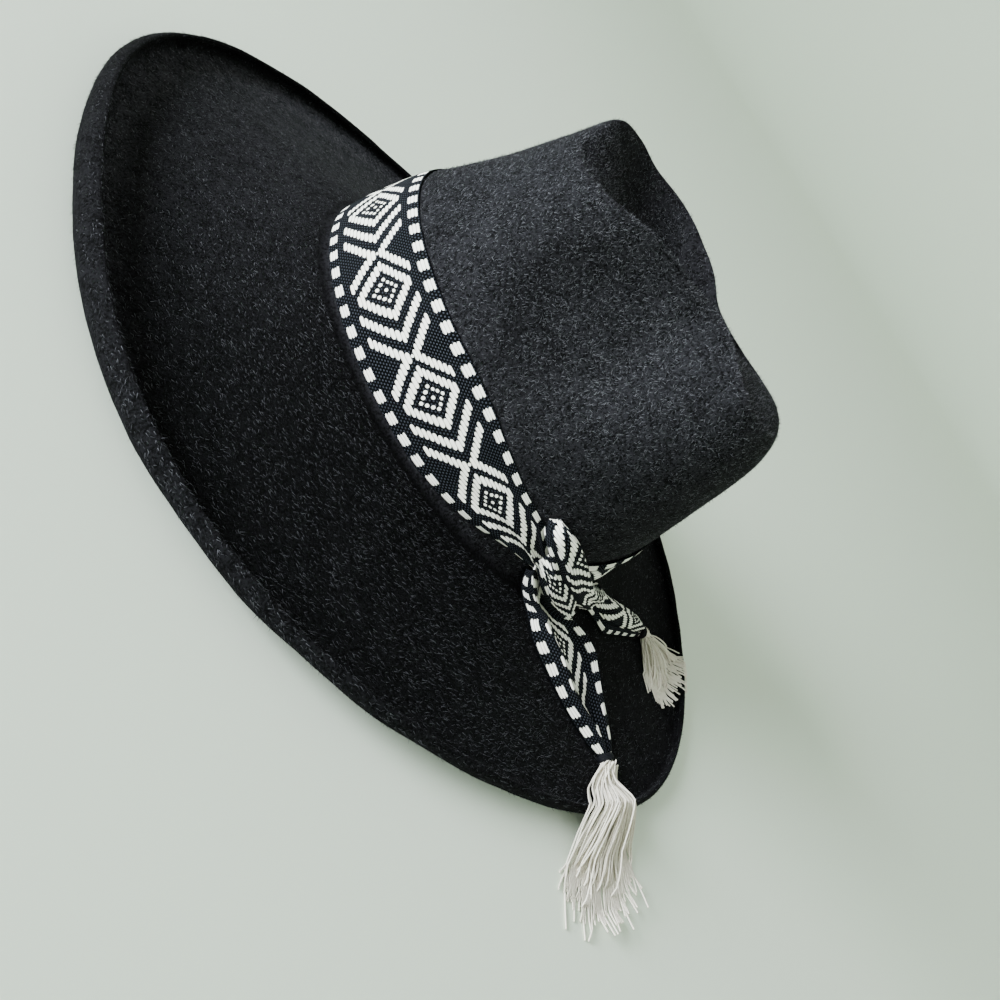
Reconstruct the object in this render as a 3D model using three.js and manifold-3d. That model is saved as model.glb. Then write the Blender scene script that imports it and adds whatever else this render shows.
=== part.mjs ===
// Wide-brim felt hat with a woven band that is knotted at the left rear, its two tails
// bound and tasselled. Millimetres, +Z up, the wearer's front towards -Y, left towards +X.
// The hat stands brim down: the lowest face of the brim lies at z = 0.
import * as THREE from 'three';
import * as BufferGeometryUtils from 'three/addons/utils/BufferGeometryUtils.js';
import Module from 'manifold-3d';

const wasm = await Module();
wasm.setup();

// Felt
const FELT = 2.5;
const AROUND = 64;

// Brim outline, an oval that is slightly pulled in between its four ends. The crown is built
// about y = 0 and the whole hat is then moved so that the brim is centred there.
const BRIM_HALF_LENGTH = 211.4;
const BRIM_HALF_WIDTH = 199.5;
const BRIM_MIDDLE_Y = -3.9;
const BRIM_PULL_IN = 0.022;

// The edge lies flat at the front and at the rear end, and rises a little at the rear quarters
const EDGE_LIFT = 7.5;
const LIFT_FROM = 60;
const LIFT_SPAN = 115;

// The edge is curled up into a soft roll, with a valley inside it. The curl is widest at the left
// front, where a hand would lift the brim, and its radius is given by angle from the front
const ROLL = [
  { angle: 0, left: 5, right: 5 },
  { angle: 45, left: 8, right: 3.2 },
  { angle: 90, left: 4.4, right: 3.2 },
  { angle: 130, left: 3, right: 3 },
  { angle: 180, left: 2.8, right: 2.8 },
];
const ROLL_END = 55;
const VALLEY_INSET = 14;
const BRIM_SWEEP = 1.35;

// The crown leans back on the brim: its own base lies this high, tilted by this much
const CROWN_TILT = THREE.MathUtils.degToRad(3.9);
const CROWN_BASE = 25.5;

// Sections of the crown wall above its base: distance to the front and rear wall, half width
const WALL = [
  { height: -3, front: 103.2, rear: 101.8, half: 81 },
  { height: 8, front: 102, rear: 102, half: 80.6 },
  { height: 20, front: 99.8, rear: 102.2, half: 80 },
  { height: 39.4, front: 95.4, rear: 101.8, half: 79 },
  { height: 52, front: 90.5, rear: 99.8, half: 77.5 },
  { height: 66, front: 85, rear: 97.5, half: 75 },
  { height: 80, front: 80, rear: 95.2, half: 72 },
  { height: 94, front: 76, rear: 92.8, half: 67.5 },
  { height: 105, front: 73, rear: 90.5, half: 62 },
];

// The thumb dents in the sides begin at this height and are deepest at the rim
const PINCH_FROM = 46;
const PINCH_TO = 121;
const PINCH_POWER = 1.25;
const UNPINCHED_HALF = 54;

// Inside the pinch a thumb has pressed a shallow bowl with a steeper front edge into each side
const BOWL_DEPTH = 5.8;
const BOWL_Y = 6;
const BOWL_REACH = 30;
const BOWL_HEIGHT = 86;
const BOWL_SPAN = 29;

// The rim of the top, by angle from the front: half width, height, how much higher the right
// side is than the left, the depth of the hollow (below 0) or dome (above 0) inside it, and how
// far the left and the right side are pushed forward
const RIM_MIDDLE = 9;
const RIM_HALF_LENGTH = 73;
const RIM = [
  { angle: 0, half: 58, height: 116, skew: 0, fill: 5, left: 6.5, right: 6.5 },
  { angle: 15, half: 60.3, height: 115.4, skew: 5.9, fill: 4, left: 4.9, right: 6.5 },
  { angle: 30, half: 60.8, height: 113.9, skew: 7.3, fill: 2, left: 2.8, right: 4.9 },
  { angle: 45, half: 56, height: 114.4, skew: 4.9, fill: -4, left: 1.1, right: 2.5 },
  { angle: 56, half: 50, height: 117.6, skew: 3.5, fill: -12, left: 0, right: 0.6 },
  { angle: 67, half: 41.5, height: 121, skew: 1.8, fill: -19, left: 0, right: 0 },
  { angle: 80, half: 31.5, height: 122.5, skew: 0.4, fill: -22, left: 0, right: 0 },
  { angle: 90, half: 25, height: 121.6, skew: 0, fill: -21, left: 0, right: 0 },
  { angle: 100, half: 20.2, height: 120.5, skew: -3.3, fill: -17, left: 0, right: 0 },
  { angle: 110, half: 24.3, height: 119.3, skew: -4.2, fill: -9, left: 0, right: 0 },
  { angle: 122, half: 37.2, height: 117.8, skew: -3.8, fill: -2, left: 0, right: 0 },
  { angle: 135, half: 47.5, height: 117.2, skew: -2.2, fill: 2, left: 0, right: 0 },
  { angle: 155, half: 51.5, height: 117.2, skew: 0, fill: 3, left: 0, right: 0 },
  { angle: 180, half: 52, height: 116, skew: 0, fill: 0, left: 0, right: 0 },
];
const CREST_RISE = 1.5;
const SHOULDER_RISE = 2;
const SHOULDER_SHARE = 0.62;
const SPINE_SHARE = 0.55;
const HOLLOW_STEEPNESS = 2.6;
const TOP_STEPS = [0.09, 0.26, 0.5, 0.78, 1];

// Where the wall turns into the brim: steps outwards and down from the base
const FILLET = [
  { out: 1.5, down: 4.8 },
  { out: 5, down: 5.4 },
];
const BRIM_STEPS = [0.15, 0.3, 0.45, 0.6, 0.8, 1];

// Woven band
const GAP = 0.3;
const RIBBON = 1;
const BAND_LEVELS = [0.05, 0.7, 1.5, 2.4, 3.29];

// Knot over the band, at the left rear
const KNOT_ANGLE = 146;
const KNOT_LEVEL = 1.75;
const KNOT_HALF_TURN = 10;
const KNOT_HALF_LEVELS = 1.6;
const KNOT_DEPTH = 11;

// Tails: plan position of the two edges on the brim, and the lift above it
const TAIL_GAP = 0.6;
const LONG_TAIL = [
  { leftX: 55, leftY: 98, rightX: 18, rightY: 114, lift: 1.5 },
  { leftX: 61, leftY: 106, rightX: 13, rightY: 123, lift: 0.6 },
  { leftX: 64, leftY: 117, rightX: 12, rightY: 134, lift: 0 },
  { leftX: 65.5, leftY: 131, rightX: 19, rightY: 145, lift: 0 },
  { leftX: 65.5, leftY: 141, rightX: 26, rightY: 156, lift: 0 },
  { leftX: 64.5, leftY: 150, rightX: 33, rightY: 163, lift: 0.4 },
  { leftX: 62.5, leftY: 156.5, rightX: 42, rightY: 168, lift: 1.2 },
  { leftX: 59.8, leftY: 161.6, rightX: 50.6, rightY: 169.2, lift: 2.4 },
];
const SHORT_TAIL = [
  { leftX: 5, leftY: 118, rightX: -18, rightY: 112.5, lift: 3 },
  { leftX: -2, leftY: 124, rightX: -29, rightY: 118, lift: 2.4 },
  { leftX: -9, leftY: 134, rightX: -43, rightY: 128, lift: 1.6 },
  { leftX: -22, leftY: 143, rightX: -53, rightY: 138, lift: 1 },
  { leftX: -37, leftY: 150, rightX: -57, rightY: 146, lift: 1.4 },
  { leftX: -46.6, leftY: 153.8, rightX: -54.4, rightY: 149.2, lift: 2.4 },
];
const TAIL_ACROSS = 7;
const PLEAT_RISE = 2.2;

// Thread bindings round the tail ends, and the tassels that hang from them
const BINDING_RADIUS = 4.2;
const LOCK_SIDES = 6;
const DRAPE_GAP = 0.8;
const DRAPE_REACH = 24;
const DRAPE_SLOPE = 0.55;
const LIP_WIDTH = 4.5;
const LONG_TASSEL = {
  start: { x: 59, y: 170 },
  radius: 3.1,
  tips: [
    { x: 134, y: 184 },
    { x: 133, y: 193 },
    { x: 127, y: 201 },
    { x: 117, y: 204 },
    { x: 103, y: 205 },
    { x: 90, y: 204 },
  ],
};
const SHORT_TASSEL = {
  start: { x: -53.5, y: 156.5 },
  radius: 2.6,
  tips: [
    { x: -50, y: 194 },
    { x: -56, y: 195 },
    { x: -62, y: 192 },
    { x: -67, y: 186 },
    { x: -70, y: 178 },
  ],
};

// Smooth curve through a table's rows, by one named column
function along(table, key, column, at) {
  const last = table.length - 1;
  let row = 0;
  while (row < last - 1 && at > table[row + 1][key]) {
    row += 1;
  }
  const slope = (index) => {
    const before = table[Math.max(index - 1, 0)];
    const after = table[Math.min(index + 1, last)];
    return (after[column] - before[column]) / (after[key] - before[key]);
  };
  const low = table[row];
  const high = table[row + 1];
  const span = high[key] - low[key];
  const u = THREE.MathUtils.clamp((at - low[key]) / span, 0, 1);
  const rest = 1 - u;
  return low[column] * (1 + 2 * u) * rest * rest
    + high[column] * u * u * (3 - 2 * u)
    + span * u * rest * (slope(row) * rest - slope(row + 1) * u);
}

// Angles run from the front, 0, over the left side, 90, to the rear, 180, and on to 360
function foldedAngle(angle) {
  const turn = ((angle % 360) + 360) % 360;
  const side = turn > 180 ? -1 : 1;
  return { folded: turn > 180 ? 360 - turn : turn, side };
}

function crownToHat(y, x, z) {
  return new THREE.Vector3(
    x,
    Math.cos(CROWN_TILT) * y + Math.sin(CROWN_TILT) * z,
    Math.cos(CROWN_TILT) * z - Math.sin(CROWN_TILT) * y + CROWN_BASE,
  );
}

// Height of the top inside its rim, at a place on the crown
function topHeight(y, x) {
  const cosine = THREE.MathUtils.clamp((RIM_MIDDLE - y) / RIM_HALF_LENGTH, -1, 1);
  const angle = THREE.MathUtils.radToDeg(Math.acos(cosine));
  const half = along(RIM, 'angle', 'half', angle) * Math.sin(Math.acos(cosine));
  const share = THREE.MathUtils.clamp(x / Math.max(half, 0.001), -1, 1);
  const hollow = 1 - Math.abs(share) ** HOLLOW_STEEPNESS;
  return along(RIM, 'angle', 'height', angle)
    - share * along(RIM, 'angle', 'skew', angle)
    + along(RIM, 'angle', 'fill', angle) * hollow;
}

// Control rows of the crown at one angle, from the base up the wall, over the rim and in
function crownRows(angle) {
  const { folded, side } = foldedAngle(angle);
  const turn = THREE.MathUtils.degToRad(folded);
  const sine = Math.sin(turn);
  const cosine = Math.cos(turn);
  const rimX = along(RIM, 'angle', 'half', folded) * sine * side;
  const ovalY = RIM_MIDDLE - RIM_HALF_LENGTH * cosine;
  const rimY = ovalY - along(RIM, 'angle', side > 0 ? 'left' : 'right', folded);
  const rimZ = along(RIM, 'angle', 'height', folded) - side * along(RIM, 'angle', 'skew', folded);
  const pinch = Math.max(UNPINCHED_HALF * sine - Math.abs(rimX), 0);
  const rows = WALL.map(({ height, front, rear, half }) => {
    const share = THREE.MathUtils.clamp((height - PINCH_FROM) / (PINCH_TO - PINCH_FROM), 0, 1);
    const y = (rear - front) / 2 - ((rear + front) / 2) * cosine;
    const away = ((y - BOWL_Y) / BOWL_REACH) ** 2 + ((height - BOWL_HEIGHT) / BOWL_SPAN) ** 2;
    const bowl = BOWL_DEPTH * Math.exp(-(away ** 2)) * Math.min(sine * 3, 1);
    const x = (half * sine - pinch * share ** PINCH_POWER - bowl) * side;
    return new THREE.Vector3(x, y, height);
  });
  const crest = new THREE.Vector3(rimX, rimY, rimZ + CREST_RISE);
  const shoulder = rows[rows.length - 1].clone().lerp(crest, SHOULDER_SHARE);
  shoulder.z += SHOULDER_RISE;
  rows.push(shoulder, crest);
  for (const step of TOP_STEPS) {
    const spineY = RIM_MIDDLE - SPINE_SHARE * RIM_HALF_LENGTH * cosine;
    const y = rimY + (spineY - rimY) * step;
    const x = rimX * (1 - step);
    rows.push(new THREE.Vector3(x, y, topHeight(ovalY + (spineY - ovalY) * step, x)));
  }
  return rows;
}

// Point of the crown's outer face: a cubic B-spline over the rows, level 0 at the base
function crownPoint(angle, level) {
  const rows = crownRows(angle);
  const last = rows.length - 1;
  const before = rows[0].clone().multiplyScalar(2).sub(rows[1]);
  const after = rows[last].clone().multiplyScalar(2).sub(rows[last - 1]);
  const control = [before, ...rows, after];
  const index = Math.min(Math.floor(level), last - 1);
  const u = level - index;
  const weights = [
    (1 - u) ** 3 / 6,
    (3 * u ** 3 - 6 * u * u + 4) / 6,
    (-3 * u ** 3 + 3 * u * u + 3 * u + 1) / 6,
    u ** 3 / 6,
  ];
  const point = new THREE.Vector3();
  weights.forEach((weight, offset) => point.addScaledVector(control[index + offset], weight));
  return crownToHat(point.y, point.x, point.z);
}

const TOP_LEVEL = WALL.length + 1 + TOP_STEPS.length;

function crownNormal(angle, level) {
  const step = 0.05;
  const low = Math.max(level - step, 0);
  const high = Math.min(level + step, TOP_LEVEL);
  const up = crownPoint(angle, high).sub(crownPoint(angle, low));
  const round = crownPoint(angle + 1, level).sub(crownPoint(angle - 1, level));
  return round.cross(up).normalize();
}

function crownOffset(angle, level, offset) {
  return crownPoint(angle, level).addScaledVector(crownNormal(angle, level), offset);
}

function edgeLift(folded) {
  const share = THREE.MathUtils.clamp((folded - LIFT_FROM) / LIFT_SPAN, 0, 1);
  return EDGE_LIFT * Math.sin(Math.PI * share) ** 2;
}

// Point of the brim's plan, this far inside its outline
function brimPlan(angle, inset) {
  const { folded, side } = foldedAngle(angle);
  const turn = THREE.MathUtils.degToRad(folded);
  const pull = 1 - BRIM_PULL_IN * (1 - Math.cos(4 * turn));
  const x = (BRIM_HALF_WIDTH - inset) * Math.sin(turn) * pull * side;
  const y = BRIM_MIDDLE_Y - (BRIM_HALF_LENGTH - inset) * Math.cos(turn) * pull;
  return new THREE.Vector3(x, y, edgeLift(folded));
}

function filletPoint(angle, { out, down }) {
  const { folded, side } = foldedAngle(angle);
  const turn = THREE.MathUtils.degToRad(folded);
  const { front, rear, half } = WALL[0];
  const y = (rear - front) / 2 - ((rear + front) / 2 + out) * Math.cos(turn);
  return crownToHat(y, (half + out) * Math.sin(turn) * side, -down);
}

// Top face of the brim, from the foot of the crown, 0, to the valley, 1
function brimPoint(angle, share) {
  const foot = filletPoint(angle, FILLET[1]);
  const valley = brimPlan(angle, VALLEY_INSET);
  const point = foot.clone().lerp(valley, share);
  const fall = 1 - (1 - share) ** BRIM_SWEEP;
  point.z = foot.z + (valley.z + FELT - foot.z) * fall;
  return point;
}

// Section of the roll: degrees round its middle line, and the distance out from that line
function rollPoint(angle, degrees, out) {
  const { folded, side } = foldedAngle(angle);
  const radius = along(ROLL, 'angle', side > 0 ? 'left' : 'right', folded);
  const reach = radius + out;
  const turn = THREE.MathUtils.degToRad(degrees);
  const middle = FELT / 2 + radius;
  const point = brimPlan(angle, middle - reach * Math.cos(turn));
  point.z += middle + reach * Math.sin(turn);
  return point;
}

// Angle at which a place in plan lies on the straight line between two points given by angle
function planAngle(x, y, inner, outer) {
  const side = x < 0 ? -1 : 1;
  let low = 0;
  let high = 180;
  for (let step = 0; step < 26; step += 1) {
    const middle = (low + high) / 2;
    const from = inner(middle * side);
    const to = outer(middle * side);
    const cross = (to.x - from.x) * (y - from.y) - (to.y - from.y) * (x - from.x);
    if (cross * side > 0) {
      low = middle;
    } else {
      high = middle;
    }
  }
  return low * side;
}

function planShare(x, y, from, to) {
  const along = (x - from.x) * (to.x - from.x) + (y - from.y) * (to.y - from.y);
  return along / ((to.x - from.x) ** 2 + (to.y - from.y) ** 2);
}

// Height of the top face of the felt brim, or of the floor beyond it, at a place in plan
function surfaceHeight(x, y) {
  const foot = (angle) => brimPoint(angle, 0);
  const valley = (angle) => brimPlan(angle, VALLEY_INSET);
  const edge = (angle) => brimPlan(angle, 0);
  const angle = planAngle(x, y, foot, valley);
  const share = planShare(x, y, foot(angle), valley(angle));
  if (share <= 1) {
    return brimPoint(angle, Math.max(share, 0)).z;
  }
  const edgeAngle = planAngle(x, y, valley, edge);
  const inset = VALLEY_INSET * (1 - planShare(x, y, valley(edgeAngle), edge(edgeAngle)));
  if (inset < 0) {
    return 0;
  }
  return inset < LIP_WIDTH ? rollPoint(edgeAngle, ROLL_END, FELT / 2).z : edge(edgeAngle).z + FELT;
}

// Height of the middle of something soft and round that drapes over the felt and the floor
function drapedHeight(x, y, radius) {
  let height = 0;
  for (let turn = 0; turn < 12; turn += 1) {
    for (let away = 0; away <= DRAPE_REACH; away += 2) {
      const angle = (turn * Math.PI) / 6;
      const under = surfaceHeight(x + away * Math.cos(angle), y + away * Math.sin(angle));
      height = Math.max(height, under - DRAPE_SLOPE * Math.max(away - radius, 0));
    }
  }
  return height + radius + DRAPE_GAP;
}

// One closed body from triangles: vertices merged, slivers dropped, faces turned outwards
function closedBody(points, triangles) {
  const soup = new THREE.BufferGeometry();
  soup.setAttribute('position', new THREE.Float32BufferAttribute(
    points.flatMap((point) => [point.x, point.y, point.z]), 3));
  soup.setIndex(triangles.flat());
  const merged = BufferGeometryUtils.mergeVertices(soup, 1e-3);
  const index = merged.getIndex().array;
  const position = merged.getAttribute('position');
  const kept = [];
  let volume = 0;
  for (let first = 0; first < index.length; first += 3) {
    const [a, b, c] = [index[first], index[first + 1], index[first + 2]];
    if (a !== b && b !== c && c !== a) {
      kept.push([a, b, c]);
      const [p, q, r] = [a, b, c].map((id) => new THREE.Vector3().fromBufferAttribute(position, id));
      volume += p.dot(q.cross(r));
    }
  }
  merged.setIndex(kept.flatMap(([a, b, c]) => (volume < 0 ? [a, c, b] : [a, b, c])));
  return merged;
}

// Closed rows of points joined one to the next; both ends close on themselves
function shellOfLoops(loops, joinEnds) {
  const size = loops[0].length;
  const triangles = [];
  const count = joinEnds ? loops.length : loops.length - 1;
  for (let row = 0; row < count; row += 1) {
    for (let column = 0; column < size; column += 1) {
      const next = (column + 1) % size;
      const here = row * size;
      const there = ((row + 1) % loops.length) * size;
      triangles.push([here + column, here + next, there + column]);
      triangles.push([here + next, there + next, there + column]);
    }
  }
  return closedBody(loops.flat(), triangles);
}

// A strip with an upper and a lower face, rows along it and columns across it
function stripBody(upper, lower) {
  const rows = upper.length;
  const loops = upper.map((row, index) => [...row, ...[...lower[index]].reverse()]);
  const size = loops[0].length;
  const triangles = [];
  for (let row = 0; row < rows - 1; row += 1) {
    for (let column = 0; column < size; column += 1) {
      const next = (column + 1) % size;
      const here = row * size;
      const there = here + size;
      triangles.push([here + column, here + next, there + column]);
      triangles.push([here + next, there + next, there + column]);
    }
  }
  for (const [start, flip] of [[0, false], [(rows - 1) * size, true]]) {
    for (let column = 0; column < size / 2 - 1; column += 1) {
      const a = start + column;
      const b = start + column + 1;
      const c = start + size - 2 - column;
      const d = start + size - 1 - column;
      triangles.push(flip ? [a, b, c] : [a, c, b]);
      triangles.push(flip ? [a, c, d] : [a, d, c]);
    }
  }
  return closedBody(loops.flat(), triangles);
}

function angles() {
  return Array.from({ length: AROUND }, (_, index) => (index * 360) / AROUND);
}

// Crown and brim, one piece of felt: outer face down and out, round the roll, and back inside
function feltBody() {
  const outerLevels = Array.from({ length: TOP_LEVEL + 1 }, (_, index) => TOP_LEVEL - index);
  const loops = [];
  const loop = (place) => loops.push(angles().map(place));
  for (const level of outerLevels) {
    loop((angle) => crownPoint(angle, level));
  }
  for (const step of FILLET) {
    loop((angle) => filletPoint(angle, step));
  }
  for (const share of BRIM_STEPS) {
    loop((angle) => brimPoint(angle, share));
  }
  for (const degrees of [-90, -50, -15, ROLL_END]) {
    loop((angle) => rollPoint(angle, degrees, -FELT / 2));
  }
  for (const degrees of [ROLL_END, -20, -55, -90]) {
    loop((angle) => rollPoint(angle, degrees, FELT / 2));
  }
  const under = (point) => point.setZ(point.z - FELT);
  for (const share of [...BRIM_STEPS].reverse()) {
    loop((angle) => under(brimPoint(angle, share)));
  }
  loop((angle) => under(filletPoint(angle, FILLET[1])));
  loop((angle) => {
    const inner = crownPoint(angle, 0).sub(filletPoint(angle, FILLET[1]));
    return under(filletPoint(angle, FILLET[0])).addScaledVector(inner, 0.3);
  });
  for (const level of [...outerLevels].reverse()) {
    loop((angle) => {
      const place = crownOffset(angle, level, -FELT);
      const mirror = crownOffset(-angle, level, -FELT);
      if (level === TOP_LEVEL) {
        place.add(mirror).multiplyScalar(0.5);
      }
      return place;
    });
  }
  return shellOfLoops(loops, false);
}

// The band, a closed ring of ribbon round the foot of the crown
function hatBand() {
  const loops = [];
  for (const level of BAND_LEVELS) {
    loops.push(angles().map((angle) => crownOffset(angle, level, GAP)));
  }
  for (const level of [...BAND_LEVELS].reverse()) {
    loops.push(angles().map((angle) => crownOffset(angle, level, GAP + RIBBON)));
  }
  return shellOfLoops(loops, true);
}

// The knot, a lump of wrapped ribbon whose back follows the band
function bandKnot() {
  const rings = 12;
  const segments = 20;
  const loops = [];
  for (let ring = 0; ring <= rings; ring += 1) {
    const polar = (ring / rings) * Math.PI;
    loops.push(Array.from({ length: segments }, (_, segment) => {
      const turn = (segment / segments) * 2 * Math.PI;
      const acrossShare = Math.cos(polar);
      const upShare = Math.sin(polar) * Math.cos(turn);
      const outShare = Math.sin(polar) * Math.sin(turn);
      const groove = Math.exp(-(((acrossShare * 0.75 + upShare * 0.65 - 0.25) / 0.16) ** 2));
      const out = KNOT_DEPTH * Math.max(outShare, 0) * (1 - 0.22 * groove);
      const angle = KNOT_ANGLE + KNOT_HALF_TURN * acrossShare;
      const level = KNOT_LEVEL + KNOT_HALF_LEVELS * upShare;
      return crownOffset(angle, level, 2 * GAP + RIBBON + out);
    }));
  }
  return shellOfLoops(loops, false);
}

// A tail of ribbon lying on the brim, with one lengthwise pleat towards its right edge
function ribbonTail(table) {
  const upper = [];
  const lower = [];
  table.forEach(({ leftX, leftY, rightX, rightY, lift }) => {
    const top = [];
    const bottom = [];
    for (let column = 0; column < TAIL_ACROSS; column += 1) {
      const share = column / (TAIL_ACROSS - 1);
      const x = THREE.MathUtils.lerp(leftX, rightX, share);
      const y = THREE.MathUtils.lerp(leftY, rightY, share);
      const pleat = PLEAT_RISE * Math.exp(-(((share - 0.68) / 0.16) ** 2));
      const z = surfaceHeight(x, y) + TAIL_GAP + lift + pleat;
      bottom.push(new THREE.Vector3(x, y, z));
      top.push(new THREE.Vector3(x, y, z + RIBBON));
    }
    upper.push(top);
    lower.push(bottom);
  });
  return stripBody(upper, lower);
}

// A round rod through a list of centres, each with its own radius
function rod(centres, radii, sides) {
  const loops = centres.map((centre, index) => {
    const before = centres[Math.max(index - 1, 0)];
    const after = centres[Math.min(index + 1, centres.length - 1)];
    const forward = after.clone().sub(before).normalize();
    const across = new THREE.Vector3(0, 0, 1).cross(forward).normalize();
    const up = forward.clone().cross(across);
    return Array.from({ length: sides }, (_, side) => {
      const turn = (side / sides) * 2 * Math.PI;
      return centre.clone()
        .addScaledVector(across, Math.cos(turn) * radii[index])
        .addScaledVector(up, Math.sin(turn) * radii[index]);
    });
  });
  const collapse = (loop, centre) => loop.map(() => centre.clone());
  loops.unshift(collapse(loops[0], centres[0]));
  loops.push(collapse(loops[loops.length - 1], centres[centres.length - 1]));
  return shellOfLoops(loops, false);
}

function toManifold(geometry) {
  const vertProperties = Float32Array.from(geometry.getAttribute('position').array);
  const triVerts = Uint32Array.from(geometry.getIndex().array);
  return new wasm.Manifold(new wasm.Mesh({ numProp: 3, vertProperties, triVerts }));
}

function fromManifold(solid) {
  const mesh = solid.getMesh();
  const geometry = new THREE.BufferGeometry();
  geometry.setAttribute('position', new THREE.Float32BufferAttribute(mesh.vertProperties, 3));
  geometry.setIndex([...mesh.triVerts]);
  return geometry;
}

// Middle of a tail's bound end, in plan
function tailEnd(table) {
  const { leftX, leftY, rightX, rightY } = table[table.length - 1];
  return new THREE.Vector3((leftX + rightX) / 2, (leftY + rightY) / 2, 0);
}

// A tassel: a round head, and locks of thread fanned from it over what they lie on
function tassel({ start, radius, tips }, table) {
  const root = new THREE.Vector3(start.x, start.y, drapedHeight(start.x, start.y, BINDING_RADIUS));
  const heading = new THREE.Vector3(start.x, start.y, 0).sub(tailEnd(table)).normalize();
  const head = [0, 0.25, 0.6, 1].map((share) => {
    return root.clone().addScaledVector(heading, radius * 2.6 * share);
  });
  let solid = toManifold(rod(head, [0.8, 1.05, 1.1, 0.9].map((share) => share * radius), 10));
  for (const tip of tips) {
    const centres = [];
    const radii = [];
    for (const share of [0.04, 0.18, 0.3, 0.42, 0.54, 0.66, 0.82, 1]) {
      const x = THREE.MathUtils.lerp(start.x, tip.x, share);
      const y = THREE.MathUtils.lerp(start.y, tip.y, share);
      const size = radius * (0.75 - 0.2 * share ** 2);
      const settle = THREE.MathUtils.smoothstep(share, 0.1, 0.3);
      centres.push(new THREE.Vector3(x, y, THREE.MathUtils.lerp(root.z, drapedHeight(x, y, size), settle)));
      radii.push(size);
    }
    solid = solid.add(toManifold(rod(centres, radii, LOCK_SIDES)));
  }
  return fromManifold(solid);
}

// Dark thread wound between a tail's end and its tassel
function binding({ start }, table) {
  const height = drapedHeight(start.x, start.y, BINDING_RADIUS);
  const near = new THREE.Vector3(start.x, start.y, height);
  const far = tailEnd(table).setZ(height);
  const length = near.distanceTo(far);
  const centres = [GAP, length * 0.3, length * 0.7, length - GAP].map((away) => {
    return near.clone().lerp(far, away / length);
  });
  return rod(centres, [0.85, 1, 1, 0.85].map((share) => share * BINDING_RADIUS), 12);
}

const felt = new THREE.MeshStandardMaterial({ color: 0x1f1f24, roughness: 0.95, metalness: 0 });
const ribbonCloth = new THREE.MeshStandardMaterial({ color: 0xd9d6ca, roughness: 0.8, metalness: 0 });
const navyThread = new THREE.MeshStandardMaterial({ color: 0x10142a, roughness: 0.7, metalness: 0 });
const creamThread = new THREE.MeshStandardMaterial({ color: 0xd9d3c2, roughness: 0.8, metalness: 0 });

const PIECES = [
  { name: 'felt_body', geometry: feltBody(), material: felt },
  { name: 'hat_band', geometry: hatBand(), material: ribbonCloth },
  { name: 'band_knot', geometry: bandKnot(), material: ribbonCloth },
  { name: 'tail_long', geometry: ribbonTail(LONG_TAIL), material: ribbonCloth },
  { name: 'tail_short', geometry: ribbonTail(SHORT_TAIL), material: ribbonCloth },
  { name: 'binding_long', geometry: binding(LONG_TASSEL, LONG_TAIL), material: navyThread },
  { name: 'binding_short', geometry: binding(SHORT_TASSEL, SHORT_TAIL), material: navyThread },
  { name: 'tassel_long', geometry: tassel(LONG_TASSEL, LONG_TAIL), material: creamThread },
  { name: 'tassel_short', geometry: tassel(SHORT_TASSEL, SHORT_TAIL), material: creamThread },
];

const hat = new THREE.Group();
for (const { name, geometry, material } of PIECES) {
  const mesh = new THREE.Mesh(geometry, material.clone());
  mesh.name = name;
  mesh.position.y = -BRIM_MIDDLE_Y;
  hat.add(mesh);
}

export default hat;
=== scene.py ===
import math

import bmesh
import bpy
import numpy as np
from mathutils import Matrix, Vector
from mathutils.bvhtree import BVHTree


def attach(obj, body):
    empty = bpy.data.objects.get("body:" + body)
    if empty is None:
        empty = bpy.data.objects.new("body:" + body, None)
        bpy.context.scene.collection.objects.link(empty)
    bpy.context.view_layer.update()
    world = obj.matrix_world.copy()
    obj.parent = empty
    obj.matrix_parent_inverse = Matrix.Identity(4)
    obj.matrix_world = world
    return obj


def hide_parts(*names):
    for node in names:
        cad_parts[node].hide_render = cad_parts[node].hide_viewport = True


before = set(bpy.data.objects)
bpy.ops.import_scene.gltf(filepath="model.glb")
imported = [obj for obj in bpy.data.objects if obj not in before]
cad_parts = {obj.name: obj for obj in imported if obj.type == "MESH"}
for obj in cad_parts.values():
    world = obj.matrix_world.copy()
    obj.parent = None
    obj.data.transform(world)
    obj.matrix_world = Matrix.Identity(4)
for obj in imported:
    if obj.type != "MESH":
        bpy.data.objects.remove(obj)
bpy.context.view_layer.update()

# The hat stands brim down on a pale floor, seen a little above the brim from the wearer's left
# with the camera rolled well over, as the hat was photographed.
MM = 0.001
BRIM_MIDDLE_Y = -3.9

camera = bpy.data.objects.new("camera", bpy.data.cameras.new("camera"))
bpy.context.scene.collection.objects.link(camera)
image_right = (-0.33917, 0.55571, 0.75905)
image_down = (0.28662, 0.82955, -0.47926)
view_line = (-0.89600, 0.05500, -0.44063)
camera_turn = Matrix([image_right, [-c for c in image_down], [-c for c in view_line]]).transposed()
camera.matrix_world = Matrix.Translation((0.460, 0.0216 - BRIM_MIDDLE_Y * MM, 0.2327)) @ camera_turn.to_4x4()
SENSOR, FOCAL_PIXELS, IMAGE_PIXELS = 36, 1049, 1000
camera.data.sensor_width = SENSOR
camera.data.lens = SENSOR * FOCAL_PIXELS / IMAGE_PIXELS
camera.data.clip_start = 0.02
camera.data.clip_end = 50
bpy.context.scene.camera = camera


def linear(hex_colour):
    """An sRGB hex colour as linear red, green, blue and alpha."""
    parts = [int(hex_colour[i : i + 2], 16) / 255 for i in (1, 3, 5)]
    return [c / 12.92 if c <= 0.04045 else ((c + 0.055) / 1.055) ** 2.4 for c in parts] + [1]


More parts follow.
